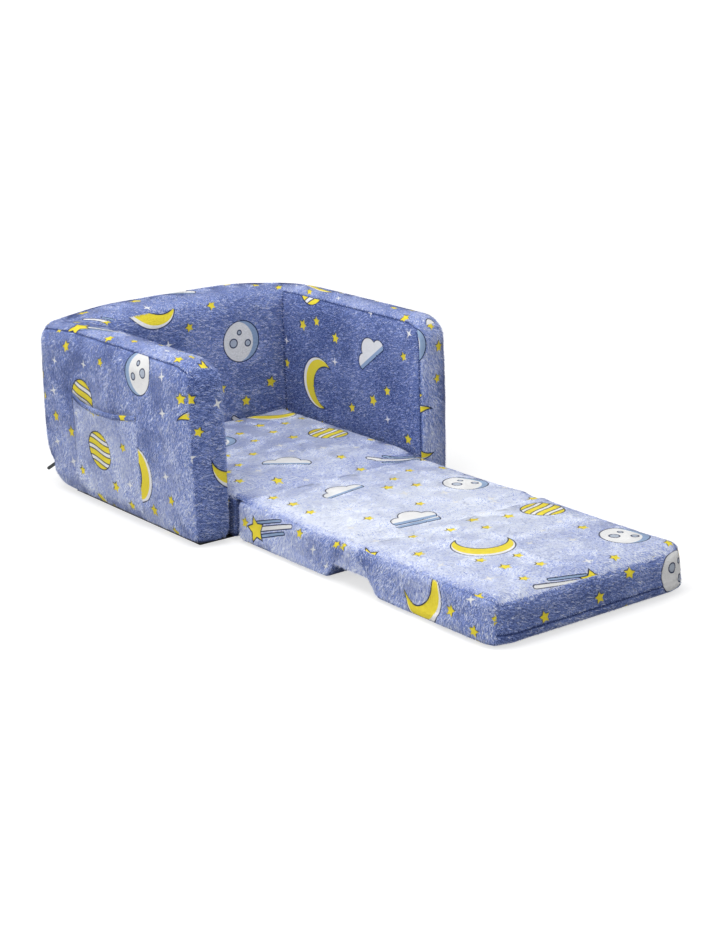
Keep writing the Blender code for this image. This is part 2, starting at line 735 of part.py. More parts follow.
middle_pieces = sewn_on(
    "middle_pad", "seat_fold_strip", "pad_fold_strip", "left_fold_gusset", "right_fold_gusset"
)
seat_fold = add_pivot("seat_fold_pivot", seat_fold_y, None, middle_pieces)
add_pivot("pad_fold_pivot", pad_fold_y, seat_fold, sewn_on("end_pad"))
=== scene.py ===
# Child's flip-open sofa: the looks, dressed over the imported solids.
import math

import bpy
import numpy as np
from mathutils import Matrix, Quaternion, Vector
from mathutils.bvhtree import BVHTree


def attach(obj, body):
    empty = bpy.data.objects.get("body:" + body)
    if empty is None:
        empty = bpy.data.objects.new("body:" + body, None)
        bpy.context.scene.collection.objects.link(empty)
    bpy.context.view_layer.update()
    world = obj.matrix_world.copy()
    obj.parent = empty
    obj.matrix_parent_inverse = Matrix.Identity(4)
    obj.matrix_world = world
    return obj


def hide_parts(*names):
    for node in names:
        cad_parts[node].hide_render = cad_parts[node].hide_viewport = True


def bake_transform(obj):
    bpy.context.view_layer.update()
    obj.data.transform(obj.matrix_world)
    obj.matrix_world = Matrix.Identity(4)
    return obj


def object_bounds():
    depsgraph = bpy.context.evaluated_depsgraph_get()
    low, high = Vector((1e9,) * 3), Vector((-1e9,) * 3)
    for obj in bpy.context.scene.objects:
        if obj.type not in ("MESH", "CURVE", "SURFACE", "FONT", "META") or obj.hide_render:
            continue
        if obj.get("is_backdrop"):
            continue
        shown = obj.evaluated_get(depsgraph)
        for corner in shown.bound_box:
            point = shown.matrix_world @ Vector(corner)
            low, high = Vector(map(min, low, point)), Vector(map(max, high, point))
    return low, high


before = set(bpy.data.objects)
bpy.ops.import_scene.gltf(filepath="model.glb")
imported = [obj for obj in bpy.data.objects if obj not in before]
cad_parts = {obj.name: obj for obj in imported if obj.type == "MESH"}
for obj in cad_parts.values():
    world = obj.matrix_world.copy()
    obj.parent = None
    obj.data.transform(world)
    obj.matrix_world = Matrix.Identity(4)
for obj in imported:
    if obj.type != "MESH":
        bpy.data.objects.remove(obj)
cad_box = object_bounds()


# Body cover: one U-shaped jacket of printed plush over both arms and the back. It is sewn from
# an outer strip, an inner strip, a top strip and two arm fronts, pulled over the foam through
# the zip in its rear foot. It is modelled as a bar, swollen by a cloth simulation, bent round.
SEAT_HALF = 0.215
ARM_THICKNESS = 0.085
SEAT_DEPTH = 0.450
BACK_THICKNESS = 0.130
BODY_HEIGHT = 0.345
FRONT_Y = 0.070
BACK_Y = FRONT_Y + SEAT_DEPTH
REAR_Y = BACK_Y + BACK_THICKNESS
BODY_HALF = SEAT_HALF + ARM_THICKNESS
BODY_EDGE = 0.028
BODY_CORNER = 0.050
FOOT_RADIUS = 0.100
ARM_DROOP = 0.002
FRONT_CORNER = 0.052
REAR_SAG = 0.020
SAG_REACH = 0.170
BACK_RISE = 0.003
FLOOR_GAP = 0.0013
BAR_LENGTH = 2 * SEAT_DEPTH + 2 * SEAT_HALF
SKIN_INSET = 0.0025
CLOTH_STEP = 0.009
SEAM_HALF = 0.0024
SEAM_DEPTH = 0.0022
SEAM_NAP = 0.25
ZIP_RECESS = 0.0034
SOFT_CORNER, CRISP_CORNER, SNUG_CORNER = 4, 12, 20
SIDE_DRAW = (0.002, 0.005)
TOP_DRAW = 0.005
FRONT_DRAW = (0.001, 0.005)


def grid_lines(low, high, radius, step, marks=()):
    """Lines across one side of a block: even on the flat, closer round its edges and seams."""
    count = max(2, round(radius * math.pi / 4 / step))
    angles = [math.pi / 4 * i / count for i in range(count)]
    angles += [math.pi / 4 - SEAM_HALF / radius, math.pi / 4]
    arc = [radius * math.tan(angle) for angle in angles]
    start, stop = low + radius, high - radius
    count = max(1, round((stop - start) / step))
    flat = [start + (stop - start) * i / count for i in range(1, count)]
    flat = [f for f in flat if all(abs(f - mark) > step / 3 for mark in marks)]
    return sorted([start - a for a in arc] + flat + list(marks) + [stop + a for a in arc])


def wider_corner(a, b):
    """Rounds a corner further: a and b run from its round edge's new centre to the faces."""
    if a <= 0 or b <= 0:
        return a, b
    scale = (a ** 4 + b ** 4) ** 0.25 / math.hypot(a, b)
    return a * scale, b * scale


def squarer_corner(a, b, power=SOFT_CORNER):
    """Sharpens a round corner: a and b run from its centre to the faces."""
    if a <= 0 or b <= 0:
        return a, b
    scale = math.hypot(a, b) / (a ** power + b ** power) ** (1 / power)
    return a * scale, b * scale


def nearness(distance, reach):
    """One at a line, falling to nothing a reach away from it."""
    return max(0.0, 1 - distance / reach)


def round_off(place, low, high, radius, sink):
    """Draws a point of a square-edged block in to its rounded edge, and a seam in by its depth."""
    core = [min(max(p, a + radius), b - radius) for p, a, b in zip(place, low, high)]
    offset = [p - c for p, c in zip(place, core)]
    length = math.hypot(*offset)
    if length == 0:
        return place
    scale = max(abs(o) for o in offset) / length * (1 - sink / radius)
    return [c + o * scale for c, o in zip(core, offset)]


MAP_MARGIN = 0.01
MAP_GROWTH = 1.03


def lay_out(sizes):
    """Packs the panels' rectangles in rows on a square, and gives its side and their corners."""
    order = sorted(range(len(sizes)), key=lambda k: -sizes[k][1])
    side = max(max(size) for size in sizes)
    while True:
        x = y = row = 0.0
        corners = {}
        for k in order:
            width, height = sizes[k]
            if x + width > side:
                x, y, row = 0.0, y + row, 0.0
            corners[k] = (x, y)
            x, row = x + width, max(row, height)
        if y + row <= side:
            return side, corners
        side *= MAP_GROWTH


def into_scene(name, data):
    """A new object of a mesh, a lamp or a camera."""
    made = bpy.data.objects.new(name, data)
    bpy.context.scene.collection.objects.link(made)
    return made


def sew(name, points, faces, spans, sizes, piles, sewn):
    """A mesh with its print map in metres, and a map on which no two panels overlap."""
    mesh = bpy.data.meshes.new(name)
    mesh.from_pydata(points, [], faces)
    side_length, corners = lay_out([[size + 2 * MAP_MARGIN for size in pair] for pair in sizes])
    cloth = mesh.uv_layers.new(name="cloth").data
    bake = mesh.uv_layers.new(name="OFBake").data
    loop = 0
    for panel, places, prints in spans:
        x, y = corners[panel]
        for (u, v), printed in zip(places, prints):
            cloth[loop].uv = printed
            spot = (x + u + MAP_MARGIN, y + v + MAP_MARGIN)
            bake[loop].uv = (spot[0] / side_length, spot[1] / side_length)
            loop += 1
    # Pile lengths, and naps with light and shade painted in for each face
    heights, naps_and_light = zip(*piles)
    for label, values in (("pile", heights), ("nap_and_light", naps_and_light), ("sewn", sewn)):
        mesh.attributes.new(label, "FLOAT", "POINT").data.foreach_set("value", values)
    mesh["map_side"] = side_length
    return into_scene(name, mesh)


BOLT_START = (0.10, 0.045)
BOLT_STEP = (0.83, 0.47)
PAD_SIDE_STEP = (1.68, -0.205)


def cut(panel, u, v, on_pad=False):
    """Where a place on a panel lies on the bolt of printed plush. The left sides of the pads are
    cut further along it than that of the body."""
    further = PAD_SIDE_STEP if on_pad and panel == 0 else (0.0, 0.0)
    return tuple(
        place + step * panel + start + more
        for place, step, start, more in zip((u, v), BOLT_STEP, BOLT_START, further)
    )


def run_along(line):
    """How far along a line each of its points lies."""
    steps = [(b - a).length for a, b in zip(line, line[1:])]
    return np.cumsum([0.0] + steps)


# The sides of a block, each as its axis and its low or high end. Near and far are the inner and
# the outer side of the body, and the front and the rear of a pad.
LEFT, RIGHT, NEAR, FAR, UNDER, TOP = [(axis, end) for axis in range(3) for end in (0, 1)]


def make_cover(name, lines, radius, shape, is_sewn, groove, pile, start=None):
    """A cover on a grid of lines: a rounded block, taken to its place by shape. is_sewn tells
    where its seams are and pile gives the pile, each from a point and the sides it lies on.
    groove is where its zip lies. start is where its print starts, or none where the print
    follows the lines from pad to pad."""
    low = [line[0] for line in lines]
    high = [line[-1] for line in lines]
    zip_axis, zip_side, zip_start, zip_stop = groove
    index, points, sewn, piles = {}, [], [], []

    def corner(cell):
        if cell not in index:
            index[cell] = len(points)
            place = [lines[axis][cell[axis]] for axis in range(3)]
            sides = {
                (a, end) for a in range(3) for end in (0, 1) if cell[a] == end * (len(lines[a]) - 1)
            }
            stitched = is_sewn(place, sides)
            limits = zip(zip_start, place, zip_stop)
            within = [k == zip_axis or a < b < c for k, (a, b, c) in enumerate(limits)]
            zipped = (zip_axis, zip_side) in sides and all(within)
            grown = pile(place, sides)
            place = round_off(place, low, high, radius, SEAM_DEPTH * stitched)
            if zipped:
                place[zip_axis] += ZIP_RECESS if zip_side == 0 else -ZIP_RECESS
            points.append(shape(place))
            sewn.append(float(stitched or zipped))
            piles.append((0.0, SEAM_NAP) if stitched or zipped else grown)
        return index[cell]

    faces, spans, sizes = [], [], []
    for axis in range(3):
        u, v = (axis + 1) % 3, (axis + 2) % 3
        if axis == 1:
            u, v = v, u
        for side in (0, 1):
            ring_of = {}
            for i in range(len(lines[u])):
                for j in range(len(lines[v])):
                    cell = [0, 0, 0]
                    cell[axis], cell[u], cell[v] = side * (len(lines[axis]) - 1), i, j
                    ring_of[i, j] = corner(tuple(cell))
            mid_u, mid_v = len(lines[u]) // 2, len(lines[v]) // 2
            row = [Vector(points[ring_of[i, mid_v]]) for i in range(len(lines[u]))]
            column = [Vector(points[ring_of[mid_u, j]]) for j in range(len(lines[v]))]
            across, upward = run_along(row), run_along(column)
            sizes.append((across[-1], upward[-1]))
            if start is None:
                print_u, print_v = lines[u], lines[v]
            else:
                print_u, print_v = across + start, upward
            flip = (axis == 1) != (side == 0)
            for i in range(len(lines[u]) - 1):
                for j in range(len(lines[v]) - 1):
                    cells = [(i, j), (i + 1, j), (i + 1, j + 1), (i, j + 1)]
                    if flip:
                        cells.reverse()
                    faces.append([ring_of[cell] for cell in cells])
                    panel = len(sizes) - 1
                    places = [(across[a], upward[b]) for a, b in cells]
                    prints = [cut(panel, print_u[a], print_v[b], start is None) for a, b in cells]
                    spans.append((panel, places, prints))
    return sew(name, points, faces, spans, sizes, piles, sewn)


CLOTH = {
    "quality": 4, "mass": 0.2, "tension_stiffness": 12, "compression_stiffness": 12,
    "shear_stiffness": 6, "bending_stiffness": 0.6, "use_pressure": True,
    "uniform_pressure_force": 3.0, "vertex_group_mass": "held",
}
SWELL_STEPS = 20
HELD_HEIGHT = 0.002


def swell(piece, cap, floor):
    """Blows the cover up a little with Blender's cloth, held at its seams and at the floor."""
    mesh = piece.data
    start = np.array([v.co for v in mesh.vertices])
    sewn = [point.value for point in mesh.attributes["sewn"].data]
    low = floor + HELD_HEIGHT
    fixed = [k for k in range(len(start)) if sewn[k] > 0 or start[k][2] < low]
    piece.vertex_groups.new(name="held").add(fixed, 1.0, "REPLACE")
    cloth = piece.modifiers.new("swell", "CLOTH")
    cloth.collision_settings.use_collision = False
    for label, value in CLOTH.items():
        setattr(cloth.settings, label, value)
    cloth.settings.effector_weights.gravity = 0.0
    for step in range(1, SWELL_STEPS + 1):
        bpy.context.scene.frame_set(step)
    seen = piece.evaluated_get(bpy.context.evaluated_depsgraph_get()).data
    moved = np.array([v.co for v in seen.vertices]) - start
    length = np.linalg.norm(moved, axis=1, keepdims=True)
    moved *= np.minimum(1.0, cap / np.maximum(length, 1e-9))
    end = start + moved
    end[:, 2] = np.maximum(end[:, 2], floor)
    piece.modifiers.remove(cloth)
    piece.vertex_groups.clear()
    bpy.context.scene.frame_set(1)
    mesh.vertices.foreach_set("co", end.ravel())
    mesh.update()


class Wiring:
    """Adds nodes to a tree and wires them; an input is a socket, a number or a vector."""

    def __init__(self, tree):
        self.tree = tree

    def put(self, socket, value):
        if isinstance(value, bpy.types.NodeSocket):
            self.tree.links.new(value, socket)
        elif value is not None:
            socket.default_value = value

    def add(self, kind, settings=None, **inputs):
        node = self.tree.nodes.new(kind)
        for key, value in (settings or {}).items():
            setattr(node, key, value)
        for key, value in inputs.items():
            name = key.replace("_", " ")
            free = [s for s in node.inputs if s.name == name and s.enabled]
            self.put(free[0], value)
        return node

    def maths(self, operation, *inputs):
        node = self.tree.nodes.new("ShaderNodeMath")
        node.operation = operation
        for socket, value in zip(node.inputs, inputs):
            self.put(socket, value)
        return node.outputs[0]

    def vector(self, operation, *inputs):
        node = self.tree.nodes.new("ShaderNodeVectorMath")
        node.operation = operation
        for socket, value in zip(node.inputs, inputs):
            self.put(socket, value)
        plain = operation in ("LENGTH", "DISTANCE")
        return node.outputs["Value" if plain else "Vector"]

    def scaled(self, vector, scale):
        result = self.vector("SCALE", vector)
        self.put(result.node.inputs["Scale"], scale)
        return result

    def split(self, vector):
        return self.add("ShaderNodeSeparateXYZ", Vector=vector).outputs

    def join(self, x=0.0, y=0.0, z=0.0):
        return self.add("ShaderNodeCombineXYZ", X=x, Y=y, Z=z).outputs[0]

    def mix(self, share, under, over, blend="MIX"):
        node = self.tree.nodes.new("ShaderNodeMix")
        node.data_type, node.blend_type = "RGBA", blend
        self.put(node.inputs[0], share)
        for socket, value in ((node.inputs[6], under), (node.inputs[7], over)):
            self.put(socket, (*value, 1.0) if isinstance(value, tuple) else value)
        return node.outputs[2]

    def spread(self, value, low, high, to_low=0.0, to_high=1.0):
        node = self.tree.nodes.new("ShaderNodeMapRange")
        for socket, given in zip(node.inputs, (value, low, high, to_low, to_high)):
            self.put(socket, given)
        return node.outputs[0]

    def attribute(self, label):
        return self.add("ShaderNodeAttribute", {"attribute_name": label}).outputs["Fac"]


def new_finish(name):
    """A new material, with its wiring and its shader."""
    made = bpy.data.materials.new(name)
    made.use_nodes = True
    return made, Wiring(made.node_tree), made.node_tree.nodes["Principled BSDF"]


def new_tree(name, numbers, materials):
    """A new Geometry Nodes tree with named inputs, with its wiring and what it is given."""
    tree = bpy.data.node_groups.new(name, "GeometryNodeTree")
    face = tree.interface
    face.new_socket("Geometry", in_out="INPUT", socket_type="NodeSocketGeometry")
    for label in numbers:
        face.new_socket(label, in_out="INPUT", socket_type="NodeSocketFloat")
    for label in materials:
        face.new_socket(label, in_out="INPUT", socket_type="NodeSocketMaterial")
    face.new_socket("Geometry", in_out="OUTPUT", socket_type="NodeSocketGeometry")
    w = Wiring(tree)
    return tree, w, w.add("NodeGroupInput").outputs


def run_nodes(piece, tree, values):
    """Runs a tree on a piece once, after its other modifiers, and leaves a plain mesh."""
    step = piece.modifiers.new(tree.name, "NODES")
    step.node_group = tree
    for item in tree.interface.items_tree:
        if item.in_out == "INPUT" and item.name in values:
            step[item.identifier] = values[item.name]
    seen = piece.evaluated_get(bpy.context.evaluated_depsgraph_get())
    grown = bpy.data.meshes.new_from_object(seen)
    piece.modifiers.clear()
    piece.data = grown
    grown.name = piece.name


# The print on the plush: a night sky in a half-drop layout, drawn as distances from the edge of
# each motif. A layout is its spacing, drift and seed, a turn or a size is its spread and its
# least, a disc is its middle and its radius, and a streak is its middle, half length and radius.
YELLOW = (0.94, 0.80, 0.065)
WHITE = (0.93, 0.93, 0.93)
PALE_BLUE = (0.36, 0.49, 0.70)
GREY_BLUE = (0.52, 0.58, 0.68)
NAVY = (0.022, 0.034, 0.105)
PRINT_EDGE = 0.0011
OUTLINE = 0.0012
PRINT_RIM = 0.001
MOTIF_LAYOUT = (0.205, 0.16, 3.0)
MOTIF_TURN = (1.5, -0.75)
MOTIF_SHARES = (-0.1, 0.24, 0.50, 0.64, 0.84, 1.1)
MOTIF_REACH = 0.072
MOON = 0.043
MOON_SHADE = (-0.011, 0.009)
CRATERS = ((-0.015, 0.011, 0.009), (0.008, -0.015, 0.0066), (0.010, 0.016, 0.0048))
CRESCENT = 0.054
CRESCENT_BITE = (0.025, 0.011, 0.044)
CRESCENT_BACK = (0.006, 0.003, 0.051)
GLOBE = 0.040
STRIPE_WAVE = (65.0, 0.0030)
STRIPE_STEP = 0.0118
STRIPE_EDGE = 0.0047
COMET_HEAD = (0.042, 0.0, 0.0)
COMET_SIZE = 0.027
COMET_CORE = (-0.018, 0.0, 0.052, 0.0050)
COMET_TAILS = ((-0.004, 0.013, 0.036, 0.0034), (-0.010, -0.013, 0.034, 0.0034))
PUFFS = ((0.0, 0.008, 0.025), (0.029, -0.003, 0.017), (-0.029, -0.004, 0.018))
CLOUD_FOOT = -0.014
CLOUD_SHADE = -0.005
STAR_LAYOUT = (0.058, 0.34, 11.0)
STAR_TURN = (0.8, -0.4)
STAR_SIZE = (0.0035, 0.0095)
STAR_SHADOW = (0.0011, -0.0012, 0.0)
STAR_SHADOW_SIZE = (0.0035, 0.0100)
STAR_VALLEY = 0.52
SPARKLE_SIZE = (0.004, 0.0085)
SPARKLE_VALLEY = 0.30
STAR_SHARES = (-0.1, 0.50, 0.82)


def toss(w, place, spacing, drift, seed):
    """The cell of a half-drop layout round a place: where it is from the motif's middle, the
    middle itself, the cell's random numbers, and one more."""
    x, y = w.split(place)[:2]
    column = w.maths("FLOOR", w.maths("DIVIDE", x, spacing))
    shift = w.maths("MULTIPLY", w.maths("FLOORED_MODULO", column, 2.0), 0.5 * spacing)
    row = w.maths("FLOOR", w.maths("DIVIDE", w.maths("ADD", y, shift), spacing))
    noise = w.add("ShaderNodeTexWhiteNoise", Vector=w.join(column, row, seed))
    red, green, blue = w.split(noise.outputs["Color"])
    step_x = w.maths("MULTIPLY_ADD", red, drift, 0.5 - drift / 2)
    step_y = w.maths("MULTIPLY_ADD", green, drift, 0.5 - drift / 2)
    middle_x = w.maths("MULTIPLY", w.maths("ADD", column, step_x), spacing)
    middle_y = w.maths("SUBTRACT", w.maths("MULTIPLY", w.maths("ADD", row, step_y), spacing), shift)
    middle = w.join(middle_x, middle_y)
    return w.vector("SUBTRACT", place, middle), middle, blue, noise.outputs["Value"]


def turned(w, spot, angle):
    node = w.add("ShaderNodeVectorRotate", {"rotation_type": "Z_AXIS"}, Vector=spot, Angle=angle)
    return node.outputs[0]


def disc(w, spot, x, y, radius):
    """How far a place is outside a disc."""
    return w.maths("SUBTRACT", w.vector("DISTANCE", spot, (x, y, 0.0)), radius)


def streak(w, spot, x, y, half, radius):
    """How far a place is outside a bar with round ends, level with the motif."""
    away = w.vector("ABSOLUTE", w.vector("SUBTRACT", spot, (x, y, 0.0)))
    away = w.vector("MAXIMUM", w.vector("SUBTRACT", away, (half, 0.0, 0.0)), (0.0, 0.0, 0.0))
    return w.maths("SUBTRACT", w.vector("LENGTH", away), radius)


def star(w, spot, tips, radius, valley_share):
    """How far a place is outside a star with straight sides and one tip up."""
    half = math.pi / tips
    run = valley_share * math.cos(half) - 1.0
    rise = valley_share * math.sin(half)
    lean = math.atan2(-run, rise)
    x, y = w.split(spot)[:2]
    angle = w.maths("PINGPONG", w.maths("ARCTAN2", x, y), half)
    facing = w.maths("COSINE", w.maths("SUBTRACT", angle, lean))
    reach = w.maths("MULTIPLY", w.vector("LENGTH", spot), facing)
    return w.maths("SUBTRACT", reach, w.maths("MULTIPLY", radius, math.cos(lean)))


def nearest_of(w, distances):
    """The least of several distances: how far a place is outside all of the shapes."""
    least = distances[0]
    for distance in distances[1:]:
        least = w.maths("MINIMUM", least, distance)
    return least


def inside(w, distance):
    return w.spread(distance, PRINT_EDGE / 2, -PRINT_EDGE / 2)


def outline(w, distance):
    return inside(w, w.maths("SUBTRACT", w.maths("ABSOLUTE", distance), OUTLINE))


def chosen(w, number, low, high):
    """One where a cell's random number falls between two, which picks its motif."""
    above, below = w.maths("GREATER_THAN", number, low), w.maths("LESS_THAN", number, high)
    return w.maths("MULTIPLY", above, below)


def night_sky(w, place, ground):
    """Paints moons, a striped globe, comets, clouds, stars and sparkles over the ground colour.
    Gives the colour, and how far a place is outside the nearest motif."""
    maths = w.maths
    spot, _, number, turn = toss(w, place, *MOTIF_LAYOUT)
    spot = turned(w, spot, maths("MULTIPLY_ADD", turn, *MOTIF_TURN))
    x, y = w.split(spot)[:2]

    # A round moon with craters
    moon = disc(w, spot, 0.0, 0.0, MOON)
    dark = maths("MAXIMUM", moon, maths("MULTIPLY", disc(w, spot, *MOON_SHADE, MOON), -1.0))
    pits = nearest_of(w, [disc(w, spot, *crater) for crater in CRATERS])

    # A crescent moon
    bite = maths("MULTIPLY", disc(w, spot, *CRESCENT_BITE), -1.0)
    horn = maths("MAXIMUM", disc(w, spot, 0.0, 0.0, CRESCENT), bite)
    back = maths("MULTIPLY", disc(w, spot, *CRESCENT_BACK), -1.0)
    back = maths("MAXIMUM", horn, back)

    # A striped globe
    globe = disc(w, spot, 0.0, 0.0, GLOBE)
    wave = maths("SINE", maths("MULTIPLY", x, STRIPE_WAVE[0]))
    level = maths("ADD", y, maths("MULTIPLY", wave, STRIPE_WAVE[1]))
    stripe = maths("SUBTRACT", maths("PINGPONG", level, STRIPE_STEP), STRIPE_EDGE)
    stripe = maths("MAXIMUM", globe, stripe)

    # A comet: a star that draws three streaks
    head = star(w, w.vector("SUBTRACT", spot, COMET_HEAD), 5, COMET_SIZE, STAR_VALLEY)
    core = streak(w, spot, *COMET_CORE)
    tails = nearest_of(w, [streak(w, spot, *tail) for tail in COMET_TAILS])
    comet = nearest_of(w, [head, core, tails])

    # A cloud with a flat foot
    cloud = nearest_of(w, [disc(w, spot, *puff) for puff in PUFFS])
    cloud = maths("MAXIMUM", cloud, maths("SUBTRACT", CLOUD_FOOT, y))
    shade = maths("MAXIMUM", cloud, maths("SUBTRACT", y, CLOUD_SHADE))

    # Each motif has a shape, its fills from the lowest up, and its drawn lines
    motifs = [
        (moon, [(moon, WHITE), (dark, PALE_BLUE), (pits, GREY_BLUE)], [moon, pits]),
        (horn, [(horn, YELLOW), (back, WHITE)], [horn]),
        (globe, [(globe, YELLOW), (stripe, WHITE)], [globe, stripe]),
        (comet, [(tails, PALE_BLUE), (core, WHITE), (head, YELLOW)], [comet, head]),
        (cloud, [(cloud, WHITE), (shade, PALE_BLUE)], [cloud]),
    ]
    colour, nearest = ground, 1.0
    for k, (shape, fills, lines) in enumerate(motifs):
        pick = chosen(w, number, MOTIF_SHARES[k], MOTIF_SHARES[k + 1])
        for distance, fill in fills:
            colour = w.mix(maths("MULTIPLY", inside(w, distance), pick), colour, fill)
        within = inside(w, maths("SUBTRACT", shape, PRINT_RIM))
        for distance in lines:
            drawn = maths("MULTIPLY", outline(w, distance), within)
            colour = w.mix(maths("MULTIPLY", drawn, pick), colour, NAVY)
        nearest = maths("MINIMUM", nearest, maths("ADD", shape, maths("SUBTRACT", 1.0, pick)))

    # Small stars and sparkles keep clear of the large motifs
    small, middle, kind, size = toss(w, place, *STAR_LAYOUT)
    room = w.vector("LENGTH", toss(w, middle, *MOTIF_LAYOUT)[0])
    clear = maths("GREATER_THAN", room, MOTIF_REACH)
    small = turned(w, small, maths("MULTIPLY_ADD", size, *STAR_TURN))
    point = star(w, small, 5, maths("MULTIPLY_ADD", size, *STAR_SIZE), STAR_VALLEY)
    shadow = w.vector("ADD", small, STAR_SHADOW)
    shadow = star(w, shadow, 5, maths("MULTIPLY_ADD", size, *STAR_SHADOW_SIZE), STAR_VALLEY)
    glint = star(w, small, 4, maths("MULTIPLY_ADD", size, *SPARKLE_SIZE), SPARKLE_VALLEY)
    yellow = maths("MULTIPLY", clear, chosen(w, kind, *STAR_SHARES[:2]))
    white = maths("MULTIPLY", clear, chosen(w, kind, *STAR_SHARES[1:]))
    stars = ((shadow, NAVY, yellow), (point, YELLOW, yellow), (glint, WHITE, white))
    for distance, fill, pick in stars:
        colour = w.mix(maths("MULTIPLY", inside(w, distance), pick), colour, fill)
        nearest = maths("MINIMUM", nearest, maths("ADD", distance, maths("SUBTRACT", 1.0, pick)))
    return colour, nearest


ROOT_BLUE = (0.030, 0.048, 0.150)
DEEP_BLUE = (0.062, 0.104, 0.330)
MID_BLUE = (0.274, 0.366, 0.755)
TIP_BLUE = (0.870, 0.905, 0.985)


def plush(name):
    """Printed plush. Each tuft is deep blue at its root and paler at its tip, some far paler."""
    made, w, shader = new_finish(name)
    place = w.add("ShaderNodeUVMap", {"uv_map": "cloth"}).outputs[0]
    tip, shade, nap_and_light = w.attribute("tip"), w.attribute("shade"), w.attribute("nap_and_light")
    body = w.add("ShaderNodeTexCoord").outputs["Object"]
    patch = w.add("ShaderNodeTexNoise", Vector=body, Scale=9.0, Detail=3.0).outputs["Fac"]
    streak = w.add("ShaderNodeTexNoise", Vector=body, Scale=420.0, Detail=2.0).outputs["Fac"]
    # The nap attribute is how the pile is brushed, with light and shade painted in for each face.
    # It sets how pale the pile is, and paler faces hide more of the dark roots.
    level = w.maths("ADD", nap_and_light, w.spread(patch, 0.35, 0.65, -0.09, 0.07))
    contrast = w.spread(nap_and_light, 0.35, 1.0, 0.95, 1.25)
    pale = w.maths("MULTIPLY_ADD", w.maths("SUBTRACT", shade, 0.5), contrast, level)
    ground = w.mix(w.spread(pale, 0.0, 0.5), DEEP_BLUE, MID_BLUE)
    ground = w.mix(w.spread(pale, 0.5, 1.0), ground, TIP_BLUE)
    reach = w.maths("ADD", tip, w.spread(streak, 0.35, 0.65, -0.10, 0.10))
    reach = w.maths("ADD", reach, w.spread(level, 0.3, 1.0, 0.0, 0.45))
    ground = w.mix(w.spread(reach, 0.0, 0.40), ROOT_BLUE, ground)
    colour, nearest = night_sky(w, place, ground)
    printed = inside(w, w.maths("SUBTRACT", nearest, PRINT_RIM))
    # The print is up to a tenth darker towards the tufts' roots and on darker tufts.
    root_dimming = w.spread(w.maths("MULTIPLY", tip, w.maths("ADD", shade, 0.4)), 0.0, 0.8, 0.90, 1.0)
    root_dimming = w.maths("MAXIMUM", root_dimming, w.maths("SUBTRACT", 1.0, printed))
    colour = w.mix(1.0, colour, w.join(root_dimming, root_dimming, root_dimming), "MULTIPLY")
    w.put(shader.inputs["Base Color"], colour)
    bump = w.add("ShaderNodeBump", Strength=0.5, Distance=0.0012, Height=streak).outputs[0]
    w.put(shader.inputs["Normal"], bump)
    shader.inputs["Roughness"].default_value = 0.9
    shader.inputs["Specular IOR Level"].default_value = 0.1
    shader.inputs["Sheen Weight"].default_value = 0.12
    shader.inputs["Sheen Roughness"].default_value = 0.45
    shader.inputs["Sheen Tint"].default_value = (0.93, 0.95, 1.0, 1.0)
    return made


TUFTS = 270000
TUFT_LENGTH = 0.0055
TUFT_WIDTH = 0.0014
TUFT_LEAN = 2.3
TUFT_MAP = (0.0032, 0.0014)
RUBBED = (0.47, 0.50)
RIPPLES = (120.0, 120.0, 400.0)
STROKES = (420.0, 420.0, 260.0)
DOWNHILL = (0.0, -0.35, -0.9)
SEAM_STEP = 0.012


